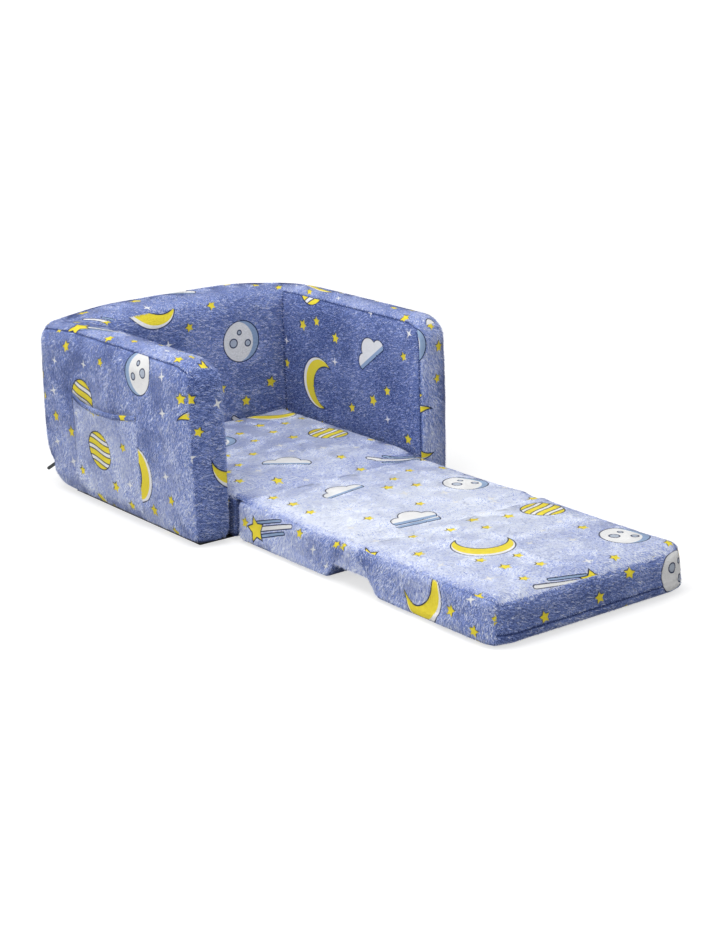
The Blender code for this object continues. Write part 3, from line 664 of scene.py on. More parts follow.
def pile_nodes():
    """Grows tufts of pile out of a cover: spikes that lean the way the plush is brushed."""
    tree, w, given = new_tree(
        "pile", ("Tufts per Square Metre", "Length", "Width", "Lean", "Print Map Side"),
        ("Material",),
    )

    def named(label, kind="FLOAT"):
        settings = {"data_type": kind}
        return w.add("GeometryNodeInputNamedAttribute", settings, Name=label).outputs[0]

    def random(seed, **limits):
        settings = {"data_type": "FLOAT"}
        return w.add("FunctionNodeRandomValue", settings, Seed=seed, **limits).outputs[1]

    def store(geometry, label, value, kind="FLOAT", domain="POINT"):
        settings = {"data_type": kind, "domain": domain}
        node = w.add("GeometryNodeStoreNamedAttribute", settings, Geometry=geometry, Name=label)
        free = [s for s in node.inputs if s.name == "Value" and s.enabled]
        w.put(free[0], value)
        return node.outputs[0]

    height = named("pile")
    density = w.maths("MULTIPLY", given["Tufts per Square Metre"], w.spread(height, 0.0, 0.3))
    spread = w.add(
        "GeometryNodeDistributePointsOnFaces", {"distribute_method": "RANDOM"},
        Mesh=given["Geometry"], Density=density, Seed=5,
    )
    points, normal = spread.outputs["Points"], spread.outputs["Normal"]
    points = store(points, "root_cloth", named("cloth", "FLOAT_VECTOR"), "FLOAT_VECTOR")
    points = store(points, "root_bake", named("OFBake", "FLOAT_VECTOR"), "FLOAT_VECTOR")
    nap_and_light = named("nap_and_light")

    # Pale and dark clumps: level ripples where the pile is rubbed sideways, else down strokes
    here = w.add("GeometryNodeInputPosition").outputs[0]
    combed = w.spread(nap_and_light, *RUBBED)
    clumps = []
    for scale in (RIPPLES, STROKES):
        fine = w.vector("MULTIPLY", here, scale)
        noise = w.add("ShaderNodeTexNoise", Vector=fine, Scale=1.0, Detail=1.0, Distortion=0.6)
        clumps.append(w.spread(noise.outputs["Fac"], 0.34, 0.66))
    clump = w.spread(combed, 0.0, 1.0, clumps[0], clumps[1])
    shade = w.maths("ADD", w.maths("MULTIPLY", random(7), 0.40), w.maths("MULTIPLY", clump, 0.60))
    points = store(points, "shade", shade)

    # The way each tuft is brushed
    noise = w.add("ShaderNodeTexNoise", Scale=26.0, Detail=1.5).outputs["Color"]
    swirl = w.scaled(w.vector("SUBTRACT", noise, (0.5, 0.5, 0.5)), 4.0)
    stray = w.add("FunctionNodeRandomValue", {"data_type": "FLOAT_VECTOR"}, Seed=9)
    stray.inputs[0].default_value = (-0.5, -0.5, -0.5)
    stray.inputs[1].default_value = (0.5, 0.5, 0.5)
    brushed = w.vector("ADD", w.vector("ADD", swirl, stray.outputs[0]), DOWNHILL)
    way = w.maths("SIGN", random(14, Min=-1.0))
    way = w.maths("MULTIPLY", way, w.spread(combed, 0.0, 1.0, 2.6, 0.0))
    aside = w.scaled(w.vector("CROSS_PRODUCT", normal, (0.0, 0.0, 1.0)), way)
    brushed = w.vector("ADD", brushed, aside)
    outward = w.vector("PROJECT", brushed, normal)
    along = w.vector("NORMALIZE", w.vector("SUBTRACT", brushed, outward))
    flat = w.spread(w.maths("ABSOLUTE", w.split(normal)[2]), 0.3, 0.9, 1.0, 2.0)

    # The print lays the pile flat and short
    nearest = night_sky(w, named("root_cloth", "FLOAT_VECTOR"), (0.0, 0.0, 0.0))[1]
    pressed = w.spread(nearest, -0.001, 0.003, 0.45, 1.0)
    laid = w.scaled(along, w.maths("MULTIPLY", given["Lean"], flat))
    turn = w.add(
        "FunctionNodeAlignRotationToVector", {"axis": "X"}, Vector=w.vector("ADD", normal, laid)
    )
    turn = w.add(
        "FunctionNodeAlignRotationToVector", {"axis": "Z", "pivot_axis": "X"},
        Rotation=turn.outputs[0], Vector=normal,
    )

    # A tuft is one slim triangle, a metre long and wide until it is scaled
    tuft = w.add("GeometryNodeMeshCircle", {"fill_type": "NGON"}, Vertices=3, Radius=1.0).outputs[0]
    tuft = w.add("GeometryNodeTransform", Geometry=tuft, Translation=(0.5, 0.0, 0.0)).outputs[0]
    unit = (1 / 1.5, 3 ** -0.5, 1.0)
    tuft = w.add("GeometryNodeTransform", Geometry=tuft, Scale=unit).outputs[0]
    place = w.split(w.add("GeometryNodeInputPosition").outputs[0])
    tuft = store(tuft, "tip", place[0])
    tuft = store(tuft, "across", place[1])
    length = w.maths("MULTIPLY", given["Length"], height)
    length = w.maths("MULTIPLY", length, random(12, Min=0.6, Max=1.3))
    length = w.maths("MULTIPLY", length, pressed)
    length = w.maths("MULTIPLY", length, w.spread(clump, 0.0, 1.0, 0.7, 1.15))
    grown = w.add(
        "GeometryNodeInstanceOnPoints", Points=points, Instance=tuft,
        Rotation=turn.outputs[0], Scale=w.join(length, given["Width"], 1.0),
    ).outputs[0]
    grown = w.add("GeometryNodeRealizeInstances", Geometry=grown).outputs[0]

    # A tuft takes the print from the place it lies over, and from its root across a seam
    root = named("root_cloth", "FLOAT_VECTOR")
    under = w.add(
        "GeometryNodeSampleNearestSurface", {"data_type": "FLOAT_VECTOR"},
        Mesh=given["Geometry"], Value=named("cloth", "FLOAT_VECTOR"),
    ).outputs[0]
    near = w.maths("LESS_THAN", w.vector("DISTANCE", under, root), SEAM_STEP)
    step = w.scaled(w.vector("SUBTRACT", under, root), near)
    grown = store(grown, "cloth", w.vector("ADD", root, step), "FLOAT2", "CORNER")
    run = w.maths("MULTIPLY", named("tip"), TUFT_MAP[0])
    aside = w.maths("MULTIPLY", named("across"), TUFT_MAP[1])
    mark = w.scaled(w.join(run, aside), w.maths("DIVIDE", 1.0, given["Print Map Side"]))
    place = w.vector("ADD", named("root_bake", "FLOAT_VECTOR"), mark)
    grown = store(grown, "OFBake", place, "FLOAT2", "CORNER")
    skin = store(given["Geometry"], "tip", w.spread(height, 0.0, 1.0, 0.0, 0.15))
    skin = store(skin, "shade", 0.5)
    both = w.add("GeometryNodeJoinGeometry")
    w.put(both.inputs[0], grown)
    w.put(both.inputs[0], skin)
    both = w.add("GeometryNodeSetMaterial", Geometry=both.outputs[0], Material=given["Material"])
    w.put(w.add("NodeGroupOutput").inputs[0], both.outputs[0])
    return tree


PILE = pile_nodes()
PLUSH = plush("printed_plush")


def grow_pile(piece):
    """Smooths the cover, grows its pile, and leaves a plain mesh."""
    for polygon in piece.data.polygons:
        polygon.use_smooth = True
    smooth = piece.modifiers.new("smooth", "SUBSURF")
    smooth.levels = smooth.render_levels = 1
    run_nodes(piece, PILE, {
        "Tufts per Square Metre": TUFTS, "Length": TUFT_LENGTH, "Width": TUFT_WIDTH,
        "Lean": TUFT_LEAN, "Print Map Side": piece.data["map_side"], "Material": PLUSH,
    })
    for label in ("root_cloth", "root_bake", "across", "pile", "sewn"):
        if label in piece.data.attributes:
            piece.data.attributes.remove(piece.data.attributes[label])


def droop_and_bend(point):
    """Crowns a point of the bar, bends it round the U, and rounds the large corners and foot."""
    along, out, height = point
    across = 2 * out / ARM_THICKNESS - 1
    upright = 2 * (height - FLOOR_GAP) / (BODY_HEIGHT - FLOOR_GAP) - 1
    out -= across * SIDE_DRAW[across > 0] * upright ** 2
    height -= TOP_DRAW * across ** 2 * max(upright, 0)
    near = nearness(min(along, BAR_LENGTH - along), 2 * BODY_EDGE)
    draw = FRONT_DRAW[across > 0] * near * (1 - (1 - across ** 2) * (1 - upright ** 2))
    along += draw if along < BAR_LENGTH / 2 else -draw
    run = min(along, BAR_LENGTH - along)
    inset = BODY_EDGE + SKIN_INSET
    a, b = squarer_corner(inset - run, inset - out, CRISP_CORNER)
    run, out = inset - a, inset - b
    a, b = wider_corner(FRONT_CORNER - run, height - BODY_HEIGHT + FRONT_CORNER)
    run, height = FRONT_CORNER - a, BODY_HEIGHT - FRONT_CORNER + b
    along = run if along < BAR_LENGTH / 2 else BAR_LENGTH - run
    wide = (out - BODY_EDGE) / (ARM_THICKNESS - 2 * BODY_EDGE)
    wide = out + (BACK_THICKNESS - ARM_THICKNESS) * min(max(wide, 0), 1)
    if SEAT_DEPTH < along < BAR_LENGTH - SEAT_DEPTH:
        x = (along - BAR_LENGTH / 2) * (1 + out / SEAT_HALF)
        y = BACK_Y + wide
    else:
        side = -1 if along <= SEAT_DEPTH else 1
        run = along if side < 0 else BAR_LENGTH - along
        x = side * (SEAT_HALF + out)
        ramp = (run - 2 * BODY_EDGE) / (SEAT_DEPTH - 2 * BODY_EDGE)
        y = FRONT_Y + run + wide * min(max(ramp, 0), 1)
    a, b = abs(x) - (BODY_HALF - BODY_CORNER), y - (REAR_Y - BODY_CORNER)
    if a > 0 and b > 0:
        scale = max(a, b) / math.hypot(a, b)
        a, b = a * scale, b * scale
    x = math.copysign(BODY_HALF - BODY_CORNER + a, x)
    y = REAR_Y - BODY_CORNER + b
    back = (REAR_Y - y) / (REAR_Y - FRONT_Y)
    sag = REAR_SAG * nearness(math.hypot(BODY_HALF - abs(x), REAR_Y - y), SAG_REACH) ** 1.5
    sag += ARM_DROOP * back ** 2 - BACK_RISE * max(0.0, 1 - (x / SEAT_HALF) ** 2) * (y > BACK_Y)
    height -= sag * ((height - FLOOR_GAP) / (BODY_HEIGHT - FLOOR_GAP)) ** 2
    a, b = y - (REAR_Y - FOOT_RADIUS), FLOOR_GAP + FOOT_RADIUS - height
    if a > 0 and b > 0:
        scale = max(a, b) / math.hypot(a, b)
        a, b = a * scale, b * scale
    return (x, REAR_Y - FOOT_RADIUS + a, FLOOR_GAP + FOOT_RADIUS - b)


ZIP_HEIGHT = 0.049
ZIP_SLOT = 0.016
BODY_ZIP_HALF = 0.248
LIP = 0.0005
CORNER_LINES = (-0.003, 0.0, 0.003)
FLOOR_SKIN = 0.0005


def around(*borders):
    """A pair of grid lines close to each border of a groove, which keeps it crisp."""
    return [border + way for border in borders for way in (-LIP, LIP)]


body_lines = [
    grid_lines(
        SKIN_INSET, BAR_LENGTH - SKIN_INSET, BODY_EDGE, CLOTH_STEP,
        [bend + way for bend in (SEAT_DEPTH, BAR_LENGTH - SEAT_DEPTH) for way in CORNER_LINES],
    ),
    grid_lines(SKIN_INSET, ARM_THICKNESS - SKIN_INSET, BODY_EDGE, CLOTH_STEP),
    grid_lines(
        FLOOR_GAP + FLOOR_SKIN, BODY_HEIGHT - SKIN_INSET, BODY_EDGE, CLOTH_STEP,
        around(ZIP_HEIGHT - ZIP_SLOT / 2, ZIP_HEIGHT + ZIP_SLOT / 2),
    ),
]
stretch = SEAT_HALF / BODY_HALF
body_groove = (
    *FAR,
    (BAR_LENGTH / 2 - BODY_ZIP_HALF * stretch, 0, ZIP_HEIGHT - ZIP_SLOT / 2),
    (BAR_LENGTH / 2 + BODY_ZIP_HALF * stretch, 0, ZIP_HEIGHT + ZIP_SLOT / 2),
)


ON_SEAM = 0.001


def body_seams(place, sides):
    """Along the outer top edge, the arms' inner top edges and upright front edges, and up the
    inner corners. The back's inner top edge has none, and is soft."""
    at_arm = not SEAT_DEPTH < place[0] < BAR_LENGTH - SEAT_DEPTH
    to_corner = min(abs(place[0] - SEAT_DEPTH), abs(place[0] - BAR_LENGTH + SEAT_DEPTH))
    top = {FAR, TOP} <= sides or {NEAR, TOP} <= sides and at_arm
    front = NEAR in sides and sides & {LEFT, RIGHT}
    return bool(top or front or NEAR in sides and to_corner < ON_SEAM)


HIDDEN_HEIGHT = 0.070
FRONT_SHINE = 0.014
ZIP_RUB = 0.19
# Each face's nap has light and shade painted in. The inner faces are darkest, and the tops, the
# outer face and the right arm's front are paler. The outer face is darker towards the top, and
# there is a painted highlight by the left arm front's inner edge.
BACK_NAP_AND_LIGHT, BACK_TOP_NAP_AND_LIGHT = 0.46, 0.51
ARM_NAP_AND_LIGHT, ARM_NAP_AND_LIGHT_FORWARD, ARM_TOP_NAP_AND_LIGHT = 0.33, 0.08, 0.58
OUTER_NAP_AND_LIGHT, OUTER_NAP_AND_LIGHT_FALL = 0.655, 0.15
LEFT_FRONT_NAP_AND_LIGHT, LEFT_FRONT_SHINE, RIGHT_FRONT_NAP_AND_LIGHT = 0.41, 0.25, 0.585
LONG_PILE, ZIP_PILE = 1.3, 0.4


def body_pile(place, sides):
    """How long the pile is, and its nap with light and shade painted in for each face. It is long
    on the arm fronts, short beside the zip, and there is none underneath or under the seat."""
    at_back = SEAT_DEPTH < place[0] < BAR_LENGTH - SEAT_DEPTH
    forward = 1 - min(place[0], BAR_LENGTH - place[0]) / SEAT_DEPTH
    nap_and_light = BACK_NAP_AND_LIGHT if at_back else ARM_NAP_AND_LIGHT + ARM_NAP_AND_LIGHT_FORWARD * forward
    if TOP in sides:
        nap_and_light = BACK_TOP_NAP_AND_LIGHT if at_back else ARM_TOP_NAP_AND_LIGHT
    elif FAR in sides:
        nap_and_light = OUTER_NAP_AND_LIGHT - OUTER_NAP_AND_LIGHT_FALL * place[2] / BODY_HEIGHT
    elif RIGHT in sides:
        nap_and_light = RIGHT_FRONT_NAP_AND_LIGHT
    elif LEFT in sides:
        nap_and_light = LEFT_FRONT_NAP_AND_LIGHT + LEFT_FRONT_SHINE * nearness(place[1], FRONT_SHINE)
    if UNDER in sides or NEAR in sides and place[2] < HIDDEN_HEIGHT:
        return 0.0, nap_and_light
    by_zip = abs(place[2] - ZIP_HEIGHT) < ZIP_SLOT and abs(place[0] - BAR_LENGTH / 2) < ZIP_RUB
    if FAR in sides and by_zip:
        return ZIP_PILE, nap_and_light
    return LONG_PILE if {LEFT, RIGHT} & sides else 1.0, nap_and_light


BODY_PRINT_START = 0.21
BODY_SWELL = 0.002
body = make_cover(
    "body_cover_plush", body_lines, BODY_EDGE, droop_and_bend, body_seams, body_groove, body_pile,
    BODY_PRINT_START,
)
swell(body, BODY_SWELL, FLOOR_GAP)
grow_pile(body)
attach(body, "sofa_body")
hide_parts("body_cover", "left_arm_foam", "back_foam", "right_arm_foam")


# Base panel: one sheet of grippy fabric sewn under the arms, the back and the seat base, which
# joins them. Rows of rubber dots are printed on it, so that the sofa doesn't slide.
PANEL_LOW = (-0.272, 0.098)
PANEL_HIGH = (0.272, 0.550)
PANEL_TOP = 0.0010
DOT_SPACING = 0.011
DOT_RADIUS = 0.0017
DOT_HEIGHT = 0.0004


def plain(name, colour, roughness, grain=0.0, scale=900.0, metallic=0.0):
    """A finish with a fine grain in its colour and its surface."""
    made, w, shader = new_finish(name)
    body = w.add("ShaderNodeTexCoord").outputs["Object"]
    fine = w.add("ShaderNodeTexNoise", Vector=body, Scale=scale, Detail=3.0).outputs["Fac"]
    dark = tuple(c * (1 - grain) for c in colour)
    light = tuple(min(1.0, c * (1 + grain)) for c in colour)
    w.put(shader.inputs["Base Color"], w.mix(w.spread(fine, 0.3, 0.7), dark, light))
    w.put(shader.inputs["Roughness"], w.spread(fine, 0.3, 0.7, roughness - 0.08, roughness + 0.08))
    bump = w.add("ShaderNodeBump", Strength=0.3, Distance=0.0002, Height=fine).outputs[0]
    w.put(shader.inputs["Normal"], bump)
    shader.inputs["Metallic"].default_value = metallic
    return made


def woven(name, warp, weft, pitch, roughness):
    """A twill: threads over and under each other, drawn and raised on the piece's own axes."""
    made, w, shader = new_finish(name)
    body = w.add("ShaderNodeTexCoord").outputs["Object"]
    x, y, z = w.split(body)
    up = w.maths("ADD", y, z)
    slant = w.maths("ADD", x, up)
    twill = w.maths("SINE", w.maths("MULTIPLY", slant, 2 * math.pi / (2 * pitch)))
    threads = w.maths("SINE", w.maths("MULTIPLY", up, 2 * math.pi / pitch))
    height = w.maths("ADD", w.maths("MULTIPLY", twill, 0.5), w.maths("MULTIPLY", threads, 0.3))
    fuzz = w.add("ShaderNodeTexNoise", Vector=body, Scale=2500.0, Detail=2.0).outputs["Fac"]
    height = w.maths("ADD", height, w.maths("MULTIPLY", fuzz, 0.5))
    w.put(shader.inputs["Base Color"], w.mix(w.spread(height, -0.5, 1.0), weft, warp))
    bump = w.add("ShaderNodeBump", Strength=0.6, Distance=0.0003, Height=height).outputs[0]
    w.put(shader.inputs["Normal"], bump)
    w.put(shader.inputs["Roughness"], w.spread(fuzz, 0.3, 0.7, roughness - 0.05, roughness + 0.05))
    shader.inputs["Sheen Weight"].default_value = 0.2
    return made


def dotted_nodes():
    """A thin panel with rows of dots underneath, every other row shifted by half a step."""
    tree, w, given = new_tree("grip_dots", ("Dot Radius", "Dot Height"), ("Cloth", "Dots"))
    marked = w.add("GeometryNodeInputNamedAttribute", {"data_type": "FLOAT"}, Name="dot").outputs[0]
    points = w.add("GeometryNodeMeshToPoints", Mesh=given["Geometry"], Selection=marked).outputs[0]
    dot = w.add(
        "GeometryNodeMeshCone", Vertices=10, Side_Segments=1, Fill_Segments=1,
        Radius_Top=given["Dot Radius"], Radius_Bottom=w.maths("MULTIPLY", given["Dot Radius"], 0.7),
        Depth=given["Dot Height"],
    ).outputs[0]
    dots = w.add("GeometryNodeInstanceOnPoints", Points=points, Instance=dot).outputs[0]
    dots = w.add("GeometryNodeRealizeInstances", Geometry=dots).outputs[0]
    dots = w.add("GeometryNodeSetMaterial", Geometry=dots, Material=given["Dots"]).outputs[0]
    cloth = w.add("GeometryNodeSetMaterial", Geometry=given["Geometry"], Material=given["Cloth"])
    both = w.add("GeometryNodeJoinGeometry")
    w.put(both.inputs[0], dots)
    w.put(both.inputs[0], cloth.outputs[0])
    w.put(w.add("NodeGroupOutput").inputs[0], both.outputs[0])
    return tree


def panel_mesh(name, low, high, floor, top, step):
    """A thin slab whose underside has a point for each dot, marked as one."""
    columns = round((high[0] - low[0]) / step)
    rows = round((high[1] - low[1]) / step)
    points, dots = [], []
    for z in (floor, top):
        for j in range(rows + 1):
            for i in range(columns + 1):
                shift = 0.5 * step if j % 2 and 0 < i < columns else 0.0
                x = low[0] + (high[0] - low[0]) * i / columns + shift
                points.append((x, low[1] + (high[1] - low[1]) * j / rows, z))
                dots.append(float(z == floor and 0 < i < columns - 1 and 0 < j < rows))
    row = columns + 1
    back = row * (rows + 1)
    faces = []
    for j in range(rows):
        for i in range(columns):
            ring = [j * row + i, j * row + i + 1, (j + 1) * row + i + 1, (j + 1) * row + i]
            faces += [ring[::-1], [back + k for k in ring]]
    border = list(range(columns)) + [j * row + columns for j in range(rows)]
    border += [rows * row + i for i in range(columns, 0, -1)]
    border += [j * row for j in range(rows, 0, -1)]
    for a, b in zip(border, border[1:] + border[:1]):
        faces.append((a, b, back + b, back + a))
    mesh = bpy.data.meshes.new(name)
    mesh.from_pydata(points, [], faces)
    mesh.attributes.new("dot", "FLOAT", "POINT").data.foreach_set("value", dots)
    return into_scene(name, mesh)


GRIP_CLOTH = woven("grip_cloth", (0.030, 0.034, 0.045), (0.012, 0.014, 0.020), 0.0009, 0.75)
GRIP_RUBBER = plain("grip_rubber", (0.022, 0.024, 0.030), 0.55, 0.2)
panel = panel_mesh("base_panel_cloth", PANEL_LOW, PANEL_HIGH, DOT_HEIGHT, PANEL_TOP, DOT_SPACING)
run_nodes(panel, dotted_nodes(), {
    "Dot Radius": DOT_RADIUS, "Dot Height": DOT_HEIGHT, "Cloth": GRIP_CLOTH, "Dots": GRIP_RUBBER,
})
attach(panel, "sofa_body")
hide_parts("base_panel")


# Pads: seat base, middle pad and end pad, each a foam block in its own plush cover, sewn
# together along its bottom edges. The two loose pads slope away from their fold underneath.
PAD_THICKNESS = 0.088
PAD_EDGE = 0.018
SEAT_RISE = 0.007
END_CORNER = 0.045
END_EDGE = 0.032
END_SEAM_HEIGHT = 0.022
PAD_HALF = 0.2124
FOLD_HEIGHT = 0.0883
FOLD_GAP = 0.0013
SEAT_FOLD_Y = FRONT_Y
PAD_FOLD_Y = -0.270
END_Y = -0.650
RELIEF = math.tan(math.radians(35.11))
PAD_ZIP_HEIGHT = 0.036
PAD_ZIP_HALF = 0.170
SIDE_INSET = 0.0016
LEVEL = (0.0, 0.0)
SIDE_CROWN = (0.0005, 0.0005)
TOP_CROWN = (0.0, 0.005)
SEAT_CROWN = (0.0, 0.002)
END_CROWN = (0.004, 0.0)
CORNER_FALL = 0.35
FLAT_SHARE = 0.9
REAR_GAP = 0.0003
RISE_START = 0.010
RISE_REACH = 0.050


def pad_seams(place, sides):
    """Along the bottom edges, but a little way up the open end's face."""
    if place[1] < END_Y + 2 * SKIN_INSET and NEAR in sides:
        return abs(place[2] - END_SEAM_HEIGHT) < ON_SEAM
    return UNDER in sides and len(sides) > 1


def pad_shape(low, high, crown, relief):
    """Crowns a pad's faces, and slopes its ends away from their top edges."""

    def shape(point):
        x, y, z = point
        middle = (low[1] + high[1]) / 2
        open_end = y < END_Y + END_CORNER
        inset = PAD_EDGE + SKIN_INSET
        side = high[0] - SIDE_INSET - PAD_EDGE
        at_seat = abs(y - SEAT_FOLD_Y) < PAD_EDGE + FOLD_GAP
        a, b = abs(x) - side, inset - min(y - low[1], high[1] - y)
        if not open_end:
            near = b
            a, b = squarer_corner(a, b, SNUG_CORNER if at_seat else SOFT_CORNER)
            y += near - b if y < middle else b - near
        x = math.copysign(side + a, x)
        foot = low[2] + inset
        a, b = squarer_corner(abs(x) - side, foot - z)
        x, z = math.copysign(side + a, x), foot - b
        if open_end:
            side = high[0] - END_CORNER
            a, b = wider_corner(abs(x) - side, END_Y + END_CORNER - y)
            x, y = math.copysign(side + a, x), END_Y + END_CORNER - b
            a, b = wider_corner(END_Y + END_EDGE - y, z - high[2] + END_EDGE)
            y, z = END_Y + END_EDGE - a, high[2] - END_EDGE + b
        point = (x, y, z)
        share = [(p - (a + b) / 2) / ((b - a) / 2) for p, a, b in zip(point, low, high)]
        moved = []
        for axis in range(3):
            u, v = share[axis - 2] ** 2, share[axis - 1] ** 2
            fall = 1 - (1 - u) * (1 - v) - CORNER_FALL * u * v
            moved.append(point[axis] - share[axis] * crown[axis][share[axis] > 0] * fall)
        x, y, z = moved
        share = (y - middle) / ((high[1] - low[1]) / 2 * FLAT_SHARE)
        y -= min(max(share, -1.0), 1.0) * relief[share > 0] * (FOLD_HEIGHT - z)
        rise = min(max((y - FRONT_Y - RISE_START) / RISE_REACH, 0.0), 1.0)
        if low[1] < FRONT_Y:
            rise = 0.0
        return (x, y, z + SEAT_RISE * rise * (z / PAD_THICKNESS) ** 2)

    return shape


skins = []
PAD_SWELL = 0.003
PAD_FLOOR = 0.002


def make_pad(name, low, high, crown, relief, pile, zip_side=None):
    """A pad's cover. Its zip is in the end face on zip_side, or it has none."""
    start = (-PAD_ZIP_HALF, 0, PAD_ZIP_HEIGHT - ZIP_SLOT / 2)
    stop = (PAD_ZIP_HALF, 0, PAD_ZIP_HEIGHT + ZIP_SLOT / 2)
    marks = [around(start[0], stop[0]), [], around(start[2], stop[2])]
    if zip_side is None:
        zip_side, stop, marks = 0, start, [[], [], []]
    if low[1] == END_Y:
        marks[2].append(END_SEAM_HEIGHT)
    lines = [
        grid_lines(a + gap, b - gap, PAD_EDGE, CLOTH_STEP, mark)
        for a, b, mark, gap in zip(low, high, marks, (SIDE_INSET, SKIN_INSET, SKIN_INSET))
    ]
    shape = pad_shape(low, high, crown, relief)
    piece = make_cover(name, lines, PAD_EDGE, shape, pad_seams, (1, zip_side, start, stop), pile)
    swell(piece, PAD_SWELL, low[2] + PAD_FLOOR)
    polygons = [tuple(polygon.vertices) for polygon in piece.data.polygons]
    skins.append(BVHTree.FromPolygons([v.co for v in piece.data.vertices], polygons))
    grow_pile(piece)
    return piece


SEAT_SHOWS = 0.12
PALE_Y = -0.22
PALE_REACH = 0.26
FAR_REACH = 0.13
EDGE_REACH = 0.024
SEAT_FOLD_REACH = 0.045
FOLD_END_REACH = 0.060
SIDE_FOLD_REACH = 0.14
RUB_REACH = 0.012
RUBBED_PILE = 0.5
# Light and shade are painted into these naps. The pads' tops are pale, the seat base's top is a
# little darker, and its front, the sides and the notch are darker still. The slants and shines are
# painted highlights, and the shades are painted shade.
SEAT_TOP_NAP_AND_LIGHT, SEAT_FRONT_NAP_AND_LIGHT = 0.80, 0.4
TOP_NAP_AND_LIGHT, TOP_SLANT = 0.87, 0.30
EDGE_SHADE, PALE_SHINE, FAR_SHADE, FOLD_SHADE = 0.40, 0.13, 0.12, 0.35
SIDE_NAP_AND_LIGHT, SIDE_SLANT, SIDE_FOLD_SHADE = 0.72, 0.30, 0.22
NOTCH_NAP_AND_LIGHT = 0.46
UNDER_PILE, UNDER_NAP = 0.45, 0.8


def seat_pile(place, sides):
    """Only the seat base's top and front show."""
    if TOP in sides:
        return 1.0, SEAT_TOP_NAP_AND_LIGHT
    return RUBBED_PILE if place[1] < SEAT_SHOWS else 0.0, SEAT_FRONT_NAP_AND_LIGHT


def top_nap_and_light(place):
    """Painted light and shade on the pads' tops: paler to the left and halfway down the bed, and
    darker at its far end, along the side edges and at the seat fold's ends."""
    inward = PAD_HALF - abs(place[0])
    nap_and_light = TOP_NAP_AND_LIGHT - TOP_SLANT * place[0] - EDGE_SHADE * nearness(inward, EDGE_REACH)
    nap_and_light += PALE_SHINE * nearness(abs(place[1] - PALE_Y), PALE_REACH)
    nap_and_light -= FAR_SHADE * nearness(place[1] - END_Y, FAR_REACH)
    near = nearness(abs(place[1] - SEAT_FOLD_Y), SEAT_FOLD_REACH)
    return nap_and_light - FOLD_SHADE * near * nearness(inward, FOLD_END_REACH)


def side_nap_and_light(place):
    """Painted shade on the pads' sides: darker up by the fold between the loose pads, and out
    towards the open end.
    """
    near = nearness(abs(place[1] - PAD_FOLD_Y), SIDE_FOLD_REACH)
    nap_and_light = SIDE_NAP_AND_LIGHT + SIDE_SLANT * min(0.0, place[1] - PAD_FOLD_Y)
    return nap_and_light - SIDE_FOLD_SHADE * near * min(1.0, 1.5 * place[2] / PAD_THICKNESS)


def loose_pile(place, sides):
    """Pressed flat underneath, short in the notch and against the seat base."""
    nap_and_light = side_nap_and_light(place)
    if TOP in sides:
        nap_and_light = top_nap_and_light(place)
    elif NEAR in sides:
        nap_and_light = NOTCH_NAP_AND_LIGHT
    if UNDER in sides:
        return UNDER_PILE, UNDER_NAP
    near = min(abs(place[1] - SEAT_FOLD_Y), abs(place[1] - PAD_FOLD_Y))
    aside = bool({LEFT, RIGHT} & sides)
    return 1.0 if aside or near > RUB_REACH else RUBBED_PILE, nap_and_light


seat = make_pad(
    "seat_base_plush",
    (-PAD_HALF, SEAT_FOLD_Y + FOLD_GAP, FLOOR_GAP), (PAD_HALF, BACK_Y - REAR_GAP, PAD_THICKNESS),
    (SIDE_CROWN, LEVEL, SEAT_CROWN), LEVEL, seat_pile,
)
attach(seat, "sofa_body")
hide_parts("seat_base_cover", "seat_base_foam")
middle = make_pad(
    "middle_pad_plush",
    (-PAD_HALF, PAD_FOLD_Y + FOLD_GAP, 0.0), (PAD_HALF, SEAT_FOLD_Y - FOLD_GAP, PAD_THICKNESS),
    (SIDE_CROWN, LEVEL, TOP_CROWN), (RELIEF, 0.0), loose_pile, 0,
)
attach(middle, "middle_pad")
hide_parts("middle_pad_cover", "middle_pad_foam")
end = make_pad(
    "end_pad_plush",
    (-PAD_HALF, END_Y, 0.0), (PAD_HALF, PAD_FOLD_Y - FOLD_GAP, PAD_THICKNESS),
    (SIDE_CROWN, END_CROWN, TOP_CROWN), (0.0, RELIEF), loose_pile, 1,
)
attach(end, "end_pad")
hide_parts("end_pad_cover", "end_pad_foam")


# Fold fabric: a strip of plush sewn over the groove between two pads. The one between the
# loose pads goes down both sides too, as a web that closes the sides of the notch.
FOLD_WALL = 0.0012
BORDER_MAP = 0.002


